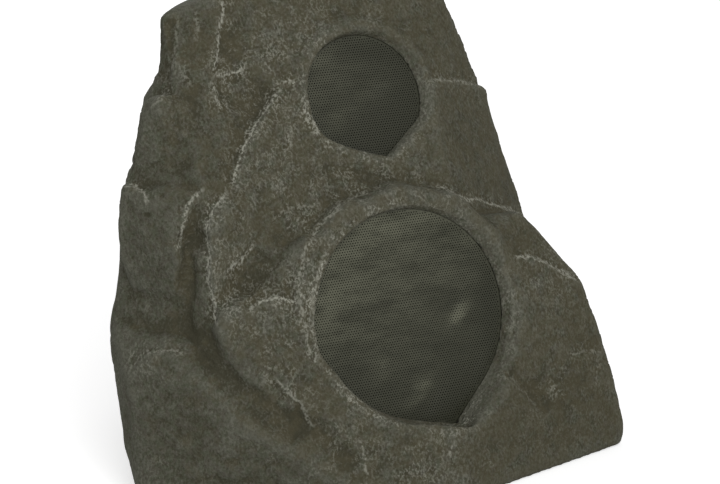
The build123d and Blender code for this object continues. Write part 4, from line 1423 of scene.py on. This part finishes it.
# The paint's paleness is its dust together with the painted sheen and painted shade kept on the sheet's
# points
paleness = product(tree, sums(tree, "ADD", point_value(tree, "grille_painted_light"), pale_start), dusty)
colour = blend(tree, levels(tree, paleness, *pale_range), paint_dark, paint_pale)
tree.links.new(colour, shader.inputs["Base Color"])
tree.links.new(weighted(tree, 0.36, (dust, 0.2)), shader.inputs["Roughness"])
shader.inputs["Specular IOR Level"].default_value = paint_shine
relief_of(tree, shader, (speck, 0.25, 0.0003))
for (centre, lean, recess, corner, lips), name, dents, painted_light_patches, painted_light_offset, node in zip(
    mouths,
    ("woofer_mesh", "tweeter_mesh"),
    (woofer_dents, tweeter_dents),
    (woofer_painted_light, tweeter_painted_light),
    (woofer_painted_light_offset, tweeter_painted_light_offset),
    ("woofer_grille", "tweeter_grille"),
):
    sheet = grille(name, centre, lean, recess, corner, dents)
    store(sheet, "grille_painted_light", grille_painted_light(places_of(sheet), centre, lean, recess, painted_light_patches, painted_light_offset))
    sheet.data.materials.append(grille_paint)
    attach(sheet, "rock")
    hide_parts(node)

# Studio
# A plain white floor runs out of sight under an even white sky, with a wide soft lamp high on the
# front left and a weaker one behind. The floor keeps the rock's shadow.
white = (1, 1, 1, 1)
floor_white = (0.8, 0.8, 0.8, 1)
floor_width = 30
floor_glow = 0.5
sky_strength = 0.42
sensor_width = 36


def seen_directly(tree):
    """1 for what the camera sees, in a mirror or through glass too, and 0 for other light."""
    path = tree.nodes.new("ShaderNodeLightPath")
    direct = sums(tree, "MAXIMUM", path.outputs["Is Camera Ray"], path.outputs["Is Glossy Ray"])
    return sums(tree, "MAXIMUM", direct, path.outputs["Is Transmission Ray"])


bpy.ops.object.select_all(action="DESELECT")
bpy.ops.mesh.primitive_plane_add(size=floor_width)
floor = bpy.context.active_object
floor.name = "floor"
floor_paint, tree, shader = new_material("floor_paint")
shader.inputs["Base Color"].default_value = floor_white
shader.inputs["Roughness"].default_value = 0.9
shader.inputs["Specular IOR Level"].default_value = 0.0
shader.inputs["Emission Color"].default_value = white
tree.links.new(product(tree, seen_directly(tree), floor_glow), shader.inputs["Emission Strength"])
floor.data.materials.append(floor_paint)

world = bpy.data.worlds.new("studio")
world.use_nodes = True
tree = world.node_tree
background = tree.nodes["Background"]
background.inputs["Color"].default_value = white
lit = weighted(tree, sky_strength, (seen_directly(tree), 1 - sky_strength))
tree.links.new(lit, background.inputs["Strength"])
bpy.context.scene.world = world

# Each lamp has its place, its width in metres and its watts
lamps = (
    ("front_lamp", Vector((-0.60, -2.1, 1.7)), 1.2, 39),
    ("back_lamp", Vector((0.40, 2.3, 1.6)), 1.6, 18),
)
for name, place, width, watts in lamps:
    bpy.ops.object.light_add(type="AREA", location=place)
    lamp = bpy.context.active_object
    lamp.name = name
    lamp.data.size = width
    lamp.data.energy = watts
    lamp.rotation_mode = "QUATERNION"
    lamp.rotation_quaternion = (place - Vector(photo_target)).to_track_quat("Z", "Y")

camera_data = bpy.data.cameras.new("camera")
camera = bpy.data.objects.new("camera", camera_data)
bpy.context.scene.collection.objects.link(camera)
camera_data.sensor_width = sensor_width
camera_data.lens = focal_pixels / photo_width * sensor_width
camera.location = camera_place
camera.rotation_mode = "QUATERNION"
camera.rotation_quaternion = (-Vector(to_camera)).to_track_quat("-Z", "Y")
bpy.context.scene.camera = camera
bpy.context.scene.view_settings.view_transform = "Standard"
